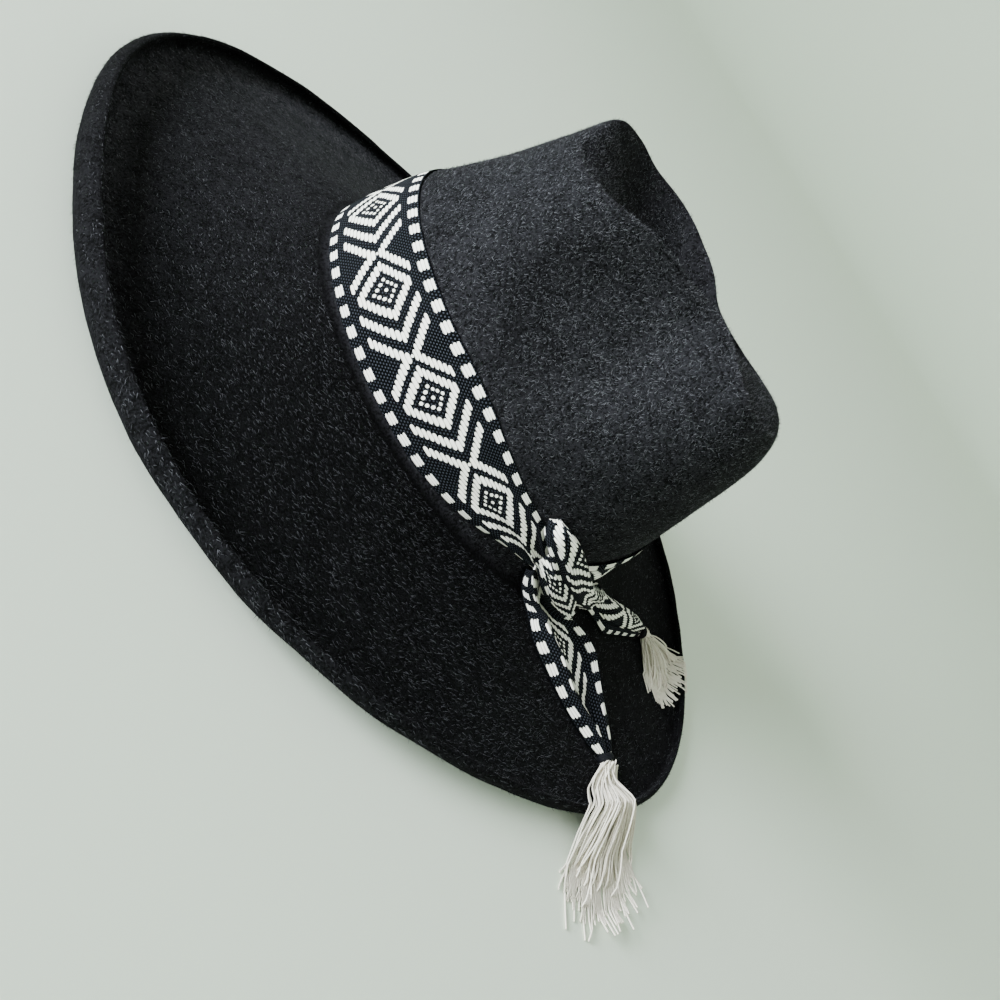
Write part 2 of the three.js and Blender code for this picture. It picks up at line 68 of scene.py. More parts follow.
def add(tree, kind, links=(), **settings):
    """Adds a node with its settings, and gives each listed input a value or a link."""
    made = tree.nodes.new(kind)
    for key, value in settings.items():
        setattr(made, key, value)
    for socket, value in links:
        if isinstance(value, bpy.types.NodeSocket):
            tree.links.new(value, made.inputs[socket])
        else:
            made.inputs[socket].default_value = value
    return made


def new_material(name):
    material = bpy.data.materials.new(name)
    material.use_nodes = True
    material.node_tree.nodes.clear()
    return material, material.node_tree


def closed_mesh(name, points_mm, faces, material):
    """A smooth mesh object from points in millimetres about the crown's middle."""
    points = np.asarray(points_mm, float).reshape(-1, 3) - (0, BRIM_MIDDLE_Y, 0)
    mesh = bpy.data.meshes.new(name)
    mesh.from_pydata((points * MM).tolist(), [], faces)
    mesh.polygons.foreach_set("use_smooth", [True] * len(mesh.polygons))
    mesh.materials.append(material)
    made = bpy.data.objects.new(name, mesh)
    bpy.context.scene.collection.objects.link(made)
    return made


def surface(tree, colour, roughness, specular, *more):
    """Ends a material's tree with its shader."""
    shader = add(tree, "ShaderNodeBsdfPrincipled", [
        ("Base Color", colour), ("Roughness", roughness), ("Specular IOR Level", specular), *more])
    add(tree, "ShaderNodeOutputMaterial", [("Surface", shader.outputs[0])])


# Matt paper sweep: pale grey with a touch of green, no gloss. It lies flat round the hat and
# curves up far away. Sizes here are in metres.
paper, tree = new_material("matt_paper_sweep")
surface(tree, linear("#EAF6E6"), 0.95, 0.1)

SWEEP_FLAT, SWEEP_BEND, SWEEP_TOP, SWEEP_AROUND = 2.6, 1.4, 3.2, 96
sweep_profile = [(0, 0), (SWEEP_FLAT, 0)]
for a in np.linspace(0.1, math.pi / 2, 14):
    sweep_profile.append((SWEEP_FLAT + SWEEP_BEND * math.sin(a), SWEEP_BEND - SWEEP_BEND * math.cos(a)))
sweep_profile.append((SWEEP_FLAT + SWEEP_BEND, SWEEP_TOP))
sweep_points = []
for r, z in sweep_profile:
    for t in np.linspace(0, 2 * math.pi, SWEEP_AROUND, endpoint=False):
        sweep_points.append((1000 * r * math.cos(t), 1000 * r * math.sin(t), 1000 * z))
sweep_faces = []
for ring in range(len(sweep_profile) - 1):
    for t in range(SWEEP_AROUND):
        here, there, n = ring * SWEEP_AROUND, (ring + 1) * SWEEP_AROUND, (t + 1) % SWEEP_AROUND
        sweep_faces.append((here + t, here + n, there + n, there + t))
sweep = closed_mesh("paper_sweep", sweep_points, sweep_faces, paper)

for name, place, size, watts, colour in [
    ("window_light", (1.5, -1.9, 0.42), 1.6, 305, "#F2F6FC"),
    ("rear_fill_light", (1.9, 1.6, 0.45), 1.2, 8, "#FFF4EC"),
]:
    lamp = bpy.data.objects.new(name, bpy.data.lights.new(name, "AREA"))
    lamp.data.shape = "DISK"
    lamp.data.size = size
    lamp.data.energy = watts
    lamp.data.color = linear(colour)[:3]
    bpy.context.scene.collection.objects.link(lamp)
    away = np.array(place) - (0, 0, 0.06)
    away = away / np.linalg.norm(away)
    side = np.cross((0, 0, 1), away) + (0, 1e-6, 0)
    side = side / np.linalg.norm(side)
    lamp.matrix_world = Matrix.Translation(place) @ Matrix(
        [side, np.cross(away, side), away]).transposed().to_4x4()

room = bpy.data.worlds.new("soft_room")
room.use_nodes = True
room.node_tree.nodes["Background"].inputs["Color"].default_value = linear("#E4E4E0")
room.node_tree.nodes["Background"].inputs["Strength"].default_value = 0.62
bpy.context.scene.world = room

# One piece of wool felt, steamed over a block: a tall crown with a teardrop dent in its top and
# a thumb dent in each side, and a wide brim whose raw edge is curled up into a soft roll.
FELT = 2.5
BRIM_HALF_LENGTH, BRIM_HALF_WIDTH, BRIM_PULL_IN = 211.4, 199.5, 0.022
EDGE_LIFT, LIFT_FROM, LIFT_SPAN = 7.5, 60, 115
ROLL_END, VALLEY_INSET, BRIM_SWEEP = 55, 14, 1.35
ROLL = {"angle": [0, 45, 90, 130, 180], "left": [5, 8, 4.4, 3, 2.8], "right": [5, 3.2, 3.2, 3, 2.8]}
CROWN_TILT, CROWN_BASE = math.radians(3.9), 25.5
WALL = {
    "height": [-3, 8, 20, 39.4, 52, 66, 80, 94, 105],
    "front": [103.2, 102, 99.8, 95.4, 90.5, 85, 80, 76, 73],
    "rear": [101.8, 102, 102.2, 101.8, 99.8, 97.5, 95.2, 92.8, 90.5],
    "half": [81, 80.6, 80, 79, 77.5, 75, 72, 67.5, 62],
}
PINCH_FROM, PINCH_TO, PINCH_POWER, UNPINCHED_HALF = 46, 121, 1.25, 54
BOWL_DEPTH, BOWL_Y, BOWL_REACH, BOWL_HEIGHT, BOWL_SPAN = 5.8, 6, 30, 86, 29
RIM_MIDDLE, RIM_HALF_LENGTH = 9, 73
RIM = {
    "angle": [0, 15, 30, 45, 56, 67, 80, 90, 100, 110, 122, 135, 155, 180],
    "half": [58, 60.3, 60.8, 56, 50, 41.5, 31.5, 25, 20.2, 24.3, 37.2, 47.5, 51.5, 52],
    "height": [116, 115.4, 113.9, 114.4, 117.6, 121, 122.5, 121.6, 120.5, 119.3, 117.8, 117.2, 117.2, 116],
    "skew": [0, 5.9, 7.3, 4.9, 3.5, 1.8, 0.4, 0, -3.3, -4.2, -3.8, -2.2, 0, 0],
    "fill": [5, 4, 2, -4, -12, -19, -22, -21, -17, -9, -2, 2, 3, 0],
    "left": [6.5, 4.9, 2.8, 1.1, 0, 0, 0, 0, 0, 0, 0, 0, 0, 0],
    "right": [6.5, 6.5, 4.9, 2.5, 0.6, 0, 0, 0, 0, 0, 0, 0, 0, 0],
}
TOP_STEPS = [0.03, 0.11, 0.27, 0.5, 0.78, 1]
TOP_LEVEL = len(WALL["height"]) + 1 + len(TOP_STEPS)


def along(table, key, column, at):
    """Smooth curve through a table's rows, by one named column."""
    x, y = np.array(table[key], float), np.array(table[column], float)
    low, high = np.maximum(np.arange(len(x)) - 1, 0), np.minimum(np.arange(len(x)) + 1, len(x) - 1)
    slope = (y[high] - y[low]) / (x[high] - x[low])
    at = np.asarray(at, float)
    i = np.clip(np.searchsorted(x, at, side="right") - 1, 0, len(x) - 2)
    span = x[i + 1] - x[i]
    u = np.clip((at - x[i]) / span, 0, 1)
    rest = 1 - u
    return (y[i] * (1 + 2 * u) * rest**2 + y[i + 1] * u * u * (3 - 2 * u)
            + span * u * rest * (slope[i] * rest - slope[i + 1] * u))


def folded(angle):
    """Degrees from the front, 0 to 180, and the side: 1 on the left and -1 on the right."""
    turn = np.mod(angle, 360)
    return np.where(turn > 180, 360 - turn, turn), np.where(turn > 180, -1.0, 1.0)


def crown_to_hat(y, x, z):
    return np.stack([x, math.cos(CROWN_TILT) * y + math.sin(CROWN_TILT) * z,
                     math.cos(CROWN_TILT) * z - math.sin(CROWN_TILT) * y + CROWN_BASE], -1)


def top_height(y, x):
    cosine = np.clip((RIM_MIDDLE - y) / RIM_HALF_LENGTH, -1, 1)
    angle = np.degrees(np.arccos(cosine))
    half = along(RIM, "angle", "half", angle) * np.sqrt(1 - cosine**2)
    share = np.clip(x / np.maximum(half, 0.001), -1, 1)
    return (along(RIM, "angle", "height", angle) - share * along(RIM, "angle", "skew", angle)
            + along(RIM, "angle", "fill", angle) * (1 - np.abs(share) ** 2.6))


def crown_rows(angle):
    fold, side = folded(angle)
    turn = np.radians(fold)
    sine, cosine = np.sin(turn), np.cos(turn)
    rim_x = along(RIM, "angle", "half", fold) * sine * side
    oval_y = RIM_MIDDLE - RIM_HALF_LENGTH * cosine
    rim_y = oval_y - np.where(side > 0, along(RIM, "angle", "left", fold), along(RIM, "angle", "right", fold))
    rim_z = along(RIM, "angle", "height", fold) - side * along(RIM, "angle", "skew", fold)
    pinch = np.maximum(UNPINCHED_HALF * sine - np.abs(rim_x), 0)
    rows = []
    for height, front, rear, half in zip(*WALL.values()):
        share = np.clip((height - PINCH_FROM) / (PINCH_TO - PINCH_FROM), 0, 1) ** PINCH_POWER
        y = (rear - front) / 2 - (rear + front) / 2 * cosine
        away = ((y - BOWL_Y) / BOWL_REACH) ** 2 + ((height - BOWL_HEIGHT) / BOWL_SPAN) ** 2
        bowl = BOWL_DEPTH * np.exp(-(away**2)) * np.minimum(sine * 3, 1)
        rows.append(np.stack([(half * sine - pinch * share - bowl) * side, y, height + 0 * y], -1))
    crest = np.stack([rim_x, rim_y, rim_z + 1.5], -1)
    rows += [rows[-1] + (crest - rows[-1]) * 0.62 + (0, 0, 2), crest]
    for step in TOP_STEPS:
        spine_y, x = RIM_MIDDLE - 0.55 * RIM_HALF_LENGTH * cosine, rim_x * (1 - step)
        top = top_height(oval_y + (spine_y - oval_y) * step, x)
        rows.append(np.stack([x, rim_y + (spine_y - rim_y) * step, top], -1))
    return np.array(rows)


def crown_point(angle, level):
    """The crown's outer face: a cubic B-spline over its rows. angle and level are arrays."""
    angle, level = np.broadcast_arrays(np.asarray(angle, float), np.asarray(level, float))
    rows = crown_rows(angle.ravel())
    rows = np.concatenate([[2 * rows[0] - rows[1]], rows, [2 * rows[-1] - rows[-2]]])
    v = level.ravel()
    i = np.clip(np.floor(v).astype(int), 0, TOP_LEVEL - 1)
    u, n = (v - i)[:, None], np.arange(len(v))
    point = ((1 - u) ** 3 * rows[i, n] + (3 * u**3 - 6 * u * u + 4) * rows[i + 1, n]
             + (-3 * u**3 + 3 * u * u + 3 * u + 1) * rows[i + 2, n] + u**3 * rows[i + 3, n]) / 6
    return crown_to_hat(point[:, 1], point[:, 0], point[:, 2]).reshape(*angle.shape, 3)


def crown_offset(angle, level, out):
    """The same, moved outwards along the face's normal."""
    angle, level = np.broadcast_arrays(np.asarray(angle, float), np.asarray(level, float))
    up = (crown_point(angle, np.minimum(level + 0.05, TOP_LEVEL))
          - crown_point(angle, np.maximum(level - 0.05, 0)))
    normal = np.cross(crown_point(angle + 1, level) - crown_point(angle - 1, level), up)
    normal /= np.maximum(np.linalg.norm(normal, axis=-1, keepdims=True), 1e-9)
    return crown_point(angle, level) + normal * np.asarray(out, float)[..., None]


def edge_lift(fold):
    return EDGE_LIFT * np.sin(np.pi * np.clip((fold - LIFT_FROM) / LIFT_SPAN, 0, 1)) ** 2


def brim_plan(angle, inset):
    fold, side = folded(angle)
    turn = np.radians(fold)
    pull = 1 - BRIM_PULL_IN * (1 - np.cos(4 * turn))
    return np.stack([(BRIM_HALF_WIDTH - inset) * np.sin(turn) * pull * side,
                     BRIM_MIDDLE_Y - (BRIM_HALF_LENGTH - inset) * np.cos(turn) * pull,
                     edge_lift(fold) + 0 * turn], -1)


def fillet_point(angle, out, down):
    fold, side = folded(angle)
    turn = np.radians(fold)
    front, rear, half = WALL["front"][0], WALL["rear"][0], WALL["half"][0]
    y = (rear - front) / 2 - ((rear + front) / 2 + out) * np.cos(turn)
    return crown_to_hat(y, (half + out) * np.sin(turn) * side, -down + 0 * y)


def brim_point(angle, share):
    foot, valley = fillet_point(angle, 5, 5.4), brim_plan(angle, VALLEY_INSET)
    share = np.asarray(share, float)
    point = foot + (valley - foot) * share[..., None]
    fall = 1 - (1 - share) ** BRIM_SWEEP
    point[..., 2] = foot[..., 2] + (valley[..., 2] + FELT - foot[..., 2]) * fall
    return point


def roll_point(angle, degrees, out):
    fold, side = folded(angle)
    radius = np.where(side > 0, along(ROLL, "angle", "left", fold), along(ROLL, "angle", "right", fold))
    reach, turn = radius + out, math.radians(degrees)
    point = brim_plan(angle, FELT / 2 + radius - reach * math.cos(turn))
    point[..., 2] += FELT / 2 + radius + reach * math.sin(turn)
    return point


def grid_faces(rows, columns, around):
    """Quads of a grid of points, closed from the last column to the first if around is true."""
    faces = []
    for r in range(rows - 1):
        for c in range(columns if around else columns - 1):
            n = (c + 1) % columns
            faces.append((r * columns + c, (r + 1) * columns + c, (r + 1) * columns + n, r * columns + n))
    return faces


FELT_AROUND, CROWN_ROWS, BRIM_ROWS = 300, 100, 36
FILLET_AT = (0.2, 0.4, 0.6, 0.8)
BRIM_FROM = CROWN_ROWS + len(FILLET_AT)
ROLL_FROM = BRIM_FROM + BRIM_ROWS
angles = np.arange(FELT_AROUND) * 360 / FELT_AROUND
shell = [crown_point(angles, level + 0 * angles) for level in np.linspace(TOP_LEVEL, 0, CROWN_ROWS)]
wall_end, corner, foot = shell[-1], fillet_point(angles, 1.2, 5.2), brim_point(angles, 0 * angles)
for t in FILLET_AT:
    shell.append(wall_end * (1 - t) ** 2 + corner * 2 * t * (1 - t) + foot * t * t)
shell += [brim_point(angles, share + 0 * angles) for share in np.linspace(0, 1, BRIM_ROWS)]
shell += [roll_point(angles, d, -FELT / 2) for d in np.linspace(-90, ROLL_END, 12)]
lip_middle = roll_point(angles, ROLL_END, 0)
lip_out = roll_point(angles, ROLL_END + 12, 0) - lip_middle
for t in (30, 60, 90, 120, 150):
    swing = math.radians(t)
    across = roll_point(angles, ROLL_END, 1) - lip_middle
    shell.append(lip_middle + across * -math.cos(swing) * FELT / 2 + lip_out * math.sin(swing) * 1.1)
shell += [roll_point(angles, d, FELT / 2) for d in np.linspace(ROLL_END, -90, 16)]
outer_rows = len(shell)
below = np.array([0, 0, -FELT])
shell += [brim_point(angles, share + 0 * angles) + below for share in np.linspace(1, 0, 14)]
shell.append(fillet_point(angles, 0.5, 4.5) + below)
inwards = -FELT + 0 * angles
inner = [crown_offset(angles, level + 0 * angles, inwards) for level in np.linspace(0, TOP_LEVEL, 46)]
mirror = crown_offset(-angles, TOP_LEVEL + 0 * angles, inwards)
inner[-1] = (inner[-1] + mirror) / 2
shell += inner
shell = np.array(shell)


def swell(p, size, seed):
    """Smooth unevenness from -1 to 1, in bumps about this many millimetres across."""
    rng = np.random.default_rng(seed)
    total = 0
    for _ in range(9):
        wave = rng.normal(size=3)
        wave *= 2 * math.pi / (size * 2 * np.linalg.norm(wave)) * rng.uniform(0.7, 1.3)
        total = total + np.sin(p @ wave + rng.uniform(0, 2 * math.pi))
    return total / 4.5


# The hand-blocked felt is never quite even: a slow wave along the roll and faint flats elsewhere.
around = np.roll(shell, -1, 1) - np.roll(shell, 1, 1)
down = np.gradient(shell, axis=0)
normal = np.cross(down, around)
normal /= np.maximum(np.linalg.norm(normal, axis=-1, keepdims=True), 1e-9)
uneven = 0.35 * swell(shell, 26, 3) + 0.12 * swell(shell, 9, 4)
fade = np.ones(len(shell))
fade[:6] = np.linspace(0, 1, 6)
fade[-6:] = np.linspace(1, 0, 6)
fade[CROWN_ROWS : BRIM_FROM + 2] = 0.3
lowest = np.clip((shell[..., 2] - 1) / 3, 0, 1)
shell = shell + normal * (uneven * fade[:, None] * lowest)[..., None]

# Painted light and shade on the felt, 1 on the crown: a painted highlight along the ridge round
# the dent, painted shade in its hollow, and the brim painted darker still, most of all along its
# left side. It stands for the light that the hat was seen in, as the felt's nap catches it.
BRIM_PAINTED_LIGHT = {
    "angle": [0, 20, 45, 70, 90, 120, 150, 180],
    "left": [1.2, 1, 0.74, 0.38, 0.26, 0.3, 0.38, 0.4],
    "right": [1.2, 1.7, 1.7, 1.2, 1, 0.8, 0.5, 0.4],
}
CREST_LEVEL = len(WALL["height"]) + 1
RIDGE_PAINTED_HIGHLIGHT, RIDGE_SPREAD, DENT_PAINTED_SHADE, ROLL_PAINTED_LIGHT = 0.45, 0.3, 0.12, 0.44
VALLEY_PAINTED_LIGHT, VALLEY_SPREAD, FRONT_UP_TO, FRONT_FADES_OVER = 1.6, 3.2, 75, 40
level = np.linspace(TOP_LEVEL, 0, CROWN_ROWS)
painted_light = np.ones(shell.shape[:2])
# A painted highlight along the ridge round the dent.
ridge_highlight = RIDGE_PAINTED_HIGHLIGHT * np.exp(-((level - CREST_LEVEL) / RIDGE_SPREAD) ** 2)
# Painted shade over the top inside the ridge.
painted_light[:CROWN_ROWS] += (ridge_highlight - DENT_PAINTED_SHADE * (level > CREST_LEVEL + 0.5))[:, None]
# Each side dent is painted dark to its front and light to its rear: painted shade and light, as a low light
# from the front falls into it.
off_y = (shell[:CROWN_ROWS, :, 1] - BOWL_Y) / BOWL_REACH
off_height = (shell[:CROWN_ROWS, :, 2] - CROWN_BASE - BOWL_HEIGHT) / BOWL_SPAN
away = off_y**2 + off_height**2
side_dent_painted_shading = np.exp(-(away**2)) * away * (off_y + 0.5 * off_height)
painted_light[:CROWN_ROWS] += side_dent_painted_shading * (level < CREST_LEVEL)[:, None]
fold, side = folded(angles)
row = np.arange(CROWN_ROWS, len(shell))[:, None]
front_share = np.clip((FRONT_UP_TO - fold) / FRONT_FADES_OVER, 0, 1)
left_painted_light, right_painted_light = (along(BRIM_PAINTED_LIGHT, "angle", key, fold) for key in ("left", "right"))
# The brim's painted light and shade, by its angle from the front, on each side.
painted_light[CROWN_ROWS:] = np.where(side > 0, left_painted_light, right_painted_light)
# Painted shade on the brim near the crown's foot, fading out over 25 rows.
painted_light[CROWN_ROWS:] *= 0.68 + 0.32 * np.clip((row - BRIM_FROM) / 25, 0, 1)
# The fillet goes from the crown's tone to the brim's.
blend = np.linspace(0.3, 1, len(FILLET_AT))[:, None]
painted_light[CROWN_ROWS:BRIM_FROM] = painted_light[CROWN_ROWS:BRIM_FROM] * blend + 0.9 * (1 - blend)
# The roll blends to one painted light level of its own.
painted_light[CROWN_ROWS:] += (ROLL_PAINTED_LIGHT - painted_light[CROWN_ROWS:]) * np.clip((row - ROLL_FROM + 3) / 7, 0, 1)
# Painted light at the front, in the valley inside the roll, lifting the shadow that the roll casts there.
painted_light[CROWN_ROWS:] += VALLEY_PAINTED_LIGHT * front_share * np.exp(-((row - ROLL_FROM + 1) / VALLEY_SPREAD) ** 2)


# Keeps the painted light and shade on a mesh's points.
def keep_painted_light(mesh, values):
    mesh.attributes.new("painted_light", "FLOAT", "POINT").data.foreach_set("value", np.ravel(values))


def ramp(tree, value, *stops):
    """A value turned to colours, given as position and hex colour in rising order."""
    made = add(tree, "ShaderNodeValToRGB", [("Fac", value)])
    for n, (position, colour) in enumerate(stops):
        stop = made.color_ramp.elements[n] if n < 2 else made.color_ramp.elements.new(position)
        stop.position = position
        stop.color = linear(colour)
    return made.outputs[0]


# Wool felt: matt near-black fibres with paler ones among them.
felt_cloth, tree = new_material("charcoal_wool_felt")
place = add(tree, "ShaderNodeTexCoord").outputs["Object"]
fleck = add(tree, "ShaderNodeTexNoise", [
    ("Vector", place), ("Scale", 950), ("Detail", 3), ("Roughness", 0.7)])
patch = add(tree, "ShaderNodeTexNoise", [
    ("Vector", place), ("Scale", 120), ("Detail", 4), ("Roughness", 0.6)])
tufts = add(tree, "ShaderNodeTexNoise", [
    ("Vector", place), ("Scale", 420), ("Detail", 2), ("Roughness", 0.6), ("Distortion", 1.2)])
mix = add(tree, "ShaderNodeMath", [
    (0, tufts.outputs[0]), (1, 0.45), (2, fleck.outputs[0])], operation="MULTIPLY_ADD")
shade = add(tree, "ShaderNodeMath", [
    (0, patch.outputs[0]), (1, 0.35), (2, mix.outputs[0])], operation="MULTIPLY_ADD")
tones = ramp(tree, shade.outputs[0], (0.78, "#070708"), (1, "#212124"))
# The felt's colour is scaled by the painted light and shade kept on the mesh.
painted_light_share = add(tree, "ShaderNodeAttribute", attribute_name="painted_light").outputs["Fac"]
felt_colour = add(tree, "ShaderNodeVectorMath", [(0, tones), (1, painted_light_share)], operation="MULTIPLY")
relief = add(tree, "ShaderNodeBump", [("Strength", 0.7), ("Distance", 0.0004), ("Height", shade.outputs[0])])
surface(tree, felt_colour.outputs[0], 0.95, 0.05, ("Normal", relief.outputs[0]))

felt_hat = closed_mesh("felt_hat", shell, grid_faces(len(shell), FELT_AROUND, True), felt_cloth)
keep_painted_light(felt_hat.data, painted_light)
shaped = bmesh.new()
shaped.from_mesh(felt_hat.data)
bmesh.ops.remove_doubles(shaped, verts=shaped.verts, dist=2e-6)
bmesh.ops.dissolve_degenerate(shaped, edges=shaped.edges, dist=1e-6)
bmesh.ops.recalc_face_normals(shaped, faces=shaped.faces)
shaped.to_mesh(felt_hat.data)
shaped.free()
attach(felt_hat, "root")
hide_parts("felt_body")

# Loose wool ends lie all over the felt's outer faces, brushed up the crown and round the brim, from
# near-black to grey. Each is one to two millimetres long, and drawn wider than the real hair so
# that it shows.
wool_ends, tree = new_material("loose_wool_ends")
tone = add(tree, "ShaderNodeAttribute", attribute_name="tone").outputs["Fac"]
tones = ramp(tree, tone, (0, "#08080A"), (0.55, "#1D1D20"), (1, "#626368"))
# The ends carry the felt's painted light and shade too, at half its range.
painted_light_share = add(tree, "ShaderNodeAttribute", attribute_name="painted_light").outputs["Fac"]
painted_light_share = add(tree, "ShaderNodeMapRange", [(0, painted_light_share), (3, 0.5), (4, 1)], clamp=False)
wool_colour = add(tree, "ShaderNodeVectorMath", [(0, tones), (1, painted_light_share.outputs[0])], operation="MULTIPLY")
surface(tree, wool_colour.outputs[0], 0.85, 0.1)

nap_tree = bpy.data.node_groups.new("wool_ends_on_felt", "GeometryNodeTree")
nap_tree.interface.new_socket("Geometry", in_out="INPUT", socket_type="NodeSocketGeometry")
nap_inputs = {}
# The group's inputs, in order: outputs 1 to 5 of the input node.
for label in ("Ends per square metre", "Length", "Width", "Brushed upwards"):
    nap_inputs[label] = nap_tree.interface.new_socket(label, in_out="INPUT", socket_type="NodeSocketFloat")
nap_inputs["Seed"] = nap_tree.interface.new_socket("Seed", in_out="INPUT", socket_type="NodeSocketInt")
nap_tree.interface.new_socket("Geometry", in_out="OUTPUT", socket_type="NodeSocketGeometry")
came_in = add(nap_tree, "NodeGroupInput")
spread = add(nap_tree, "GeometryNodeDistributePointsOnFaces", [
    ("Mesh", came_in.outputs[0]), ("Density", came_in.outputs[1]), ("Seed", came_in.outputs[5])])
flake = add(nap_tree, "GeometryNodeMeshCircle", [("Vertices", 3), ("Radius", 0.6667)], fill_type="NGON")
flake_size = add(nap_tree, "ShaderNodeCombineXYZ", [
    (0, came_in.outputs[2]), (1, came_in.outputs[3]), (2, 1)])
flake_shift = add(nap_tree, "ShaderNodeMath", [(0, came_in.outputs[2]), (1, 0.3333)], operation="MULTIPLY")
flake_base = add(nap_tree, "ShaderNodeCombineXYZ", [(0, flake_shift.outputs[0])])
flake = add(nap_tree, "GeometryNodeTransform", [
    ("Geometry", flake.outputs[0]), ("Scale", flake_size.outputs[0]), ("Translation", flake_base.outputs[0])])
flake = add(nap_tree, "GeometryNodeTransform", [
    ("Geometry", flake.outputs[0]), ("Rotation", (0, -math.pi / 2, 0))])
# The way that an end points: along the brushing, a little off the felt, and partly at random.
OFF_FELT, ASTRAY, LAID_FLAT = 0.45, 0.85, 0.75
round_hat = add(nap_tree, "ShaderNodeVectorMath", [
    (0, (0, 0, 1)), (1, add(nap_tree, "GeometryNodeInputPosition").outputs[0])], operation="CROSS_PRODUCT")
round_hat = add(nap_tree, "ShaderNodeVectorMath", [(0, round_hat.outputs[0])], operation="NORMALIZE")
brushing = add(nap_tree, "ShaderNodeMix", [
    (0, came_in.outputs[4]), (4, round_hat.outputs[0]), (5, (0, 0, 1))], data_type="VECTOR")
off_felt = add(nap_tree, "ShaderNodeVectorMath", [
    (0, spread.outputs["Normal"]), (1, [OFF_FELT] * 3), (2, brushing.outputs[1])], operation="MULTIPLY_ADD")
astray = add(nap_tree, "FunctionNodeRandomValue", [
    (0, [-ASTRAY] * 3), (1, [ASTRAY] * 3), ("Seed", came_in.outputs[5])], data_type="FLOAT_VECTOR")
pointing = add(nap_tree, "ShaderNodeVectorMath", [(0, off_felt.outputs[0]), (1, astray.outputs[0])])
turned = add(nap_tree, "FunctionNodeAlignRotationToVector", [("Vector", pointing.outputs[0])], axis="Z")
# Its flat side is turned most of the way to the felt, so that the nap shows the forms below it.
into_felt = add(nap_tree, "ShaderNodeVectorMath", [
    (0, spread.outputs["Normal"]), ("Scale", -1)], operation="SCALE")
turned = add(nap_tree, "FunctionNodeAlignRotationToVector", [
    ("Rotation", turned.outputs[0]), ("Factor", LAID_FLAT), ("Vector", into_felt.outputs[0])],
    axis="X", pivot_axis="Z")
uneven_size = add(nap_tree, "FunctionNodeRandomValue", [(2, 0.5), (3, 1.3), ("Seed", 5)])
planted = add(nap_tree, "GeometryNodeInstanceOnPoints", [
    ("Points", spread.outputs[0]), ("Instance", flake.outputs[0]),
    ("Rotation", turned.outputs[0]), ("Scale", uneven_size.outputs[1])])
toned = add(nap_tree, "GeometryNodeStoreNamedAttribute", [
    ("Geometry", planted.outputs[0]), ("Name", "tone"),
    ("Value", add(nap_tree, "FunctionNodeRandomValue", [(2, 0), (3, 1), ("Seed", 8)]).outputs[1])],
    data_type="FLOAT", domain="INSTANCE")
real = add(nap_tree, "GeometryNodeRealizeInstances", [("Geometry", toned.outputs[0])])
painted = add(nap_tree, "GeometryNodeSetMaterial", [("Geometry", real.outputs[0]), ("Material", wool_ends)])
add(nap_tree, "NodeGroupOutput", [(0, painted.outputs[0])])


def grown(name, holder, node_tree, values):
    """The plain mesh that a node tree grows on a holder, which is then removed."""
    modifier = holder.modifiers.new("growth", "NODES")
    modifier.node_group = node_tree
    for identifier, value in values.items():
        modifier[identifier] = value
    bpy.context.view_layer.update()
    solid = bpy.data.meshes.new_from_object(holder.evaluated_get(bpy.context.evaluated_depsgraph_get()))
    bpy.data.objects.remove(holder)
    solid.name = name
    made = bpy.data.objects.new(name, solid)
    bpy.context.scene.collection.objects.link(made)
    return made


def wool_nap(name, rows, columns, seed, count, upwards, length):
    """Loose ends over one part of the felt's outer face, given by its rows and columns."""
    part = shell[rows][:, columns]
    faces = [f[::-1] for f in grid_faces(*part.shape[:2], False)]
    ground = closed_mesh(name + "_ground", part, faces, wool_ends)
    keep_painted_light(ground.data, painted_light[rows][:, columns])
    area = sum(f.area for f in ground.data.polygons)
    values = {"Ends per square metre": count / area, "Length": length * MM, "Width": 0.15 * MM,
              "Brushed upwards": upwards, "Seed": seed}
    made = grown(name, ground, nap_tree, {nap_inputs[label].identifier: v for label, v in values.items()})
    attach(made, "root")


# The halves meet a little to the right of the front. The last rows, under the roll, stay bare, so
# that the ends keep off the floor.
left_half = np.arange(-6, FELT_AROUND // 2 - 5) % FELT_AROUND
right_half = np.arange(FELT_AROUND // 2 - 6, FELT_AROUND - 5) % FELT_AROUND
on_crown, on_brim = slice(0, CROWN_ROWS), slice(BRIM_FROM, outer_rows - 4)
wool_nap("nap_on_left_crown", on_crown, left_half, seed=21, count=192000, upwards=0.7, length=1.5)
wool_nap("nap_on_right_crown", on_crown, right_half, seed=24, count=80000, upwards=0.7, length=1.5)
wool_nap("nap_on_left_brim", on_brim, left_half, seed=22, count=192000, upwards=0.0, length=1.8)
wool_nap("nap_on_right_brim", on_brim, right_half, seed=23, count=96000, upwards=0.0, length=1.8)

# A cotton ribbon about 45 mm wide, woven in cream and near-black with nested diamonds between
# rows of squares. It lies round the foot of the crown and is pulled together into a knot.
# The weave is counted in cells, and a repeat is 29 of them. Its figures are set out by their
# distance from the middle of a diamond, in cells along and across the ribbon together.
REPEAT, REPEAT_LENGTH = 29, 49.4
CELL = REPEAT_LENGTH / REPEAT
FIELD_HALF, EDGE_FROM = 8.5, 9.6
RIBBON_HALF = 22.6
RIBBON, TAIL_RIBBON = 1.0, 0.8

ribbon_cloth, tree = new_material("woven_cotton_ribbon")
uv = add(tree, "ShaderNodeSeparateXYZ", [(0, add(tree, "ShaderNodeUVMap").outputs[0])])


def calc(operation, *values):
    """One step of arithmetic on numbers or sockets, in the ribbon's material."""
    return add(tree, "ShaderNodeMath", list(enumerate(values)), operation=operation).outputs[0]


u, v = uv.outputs[0], uv.outputs[1]
v_out = calc("ABSOLUTE", v)
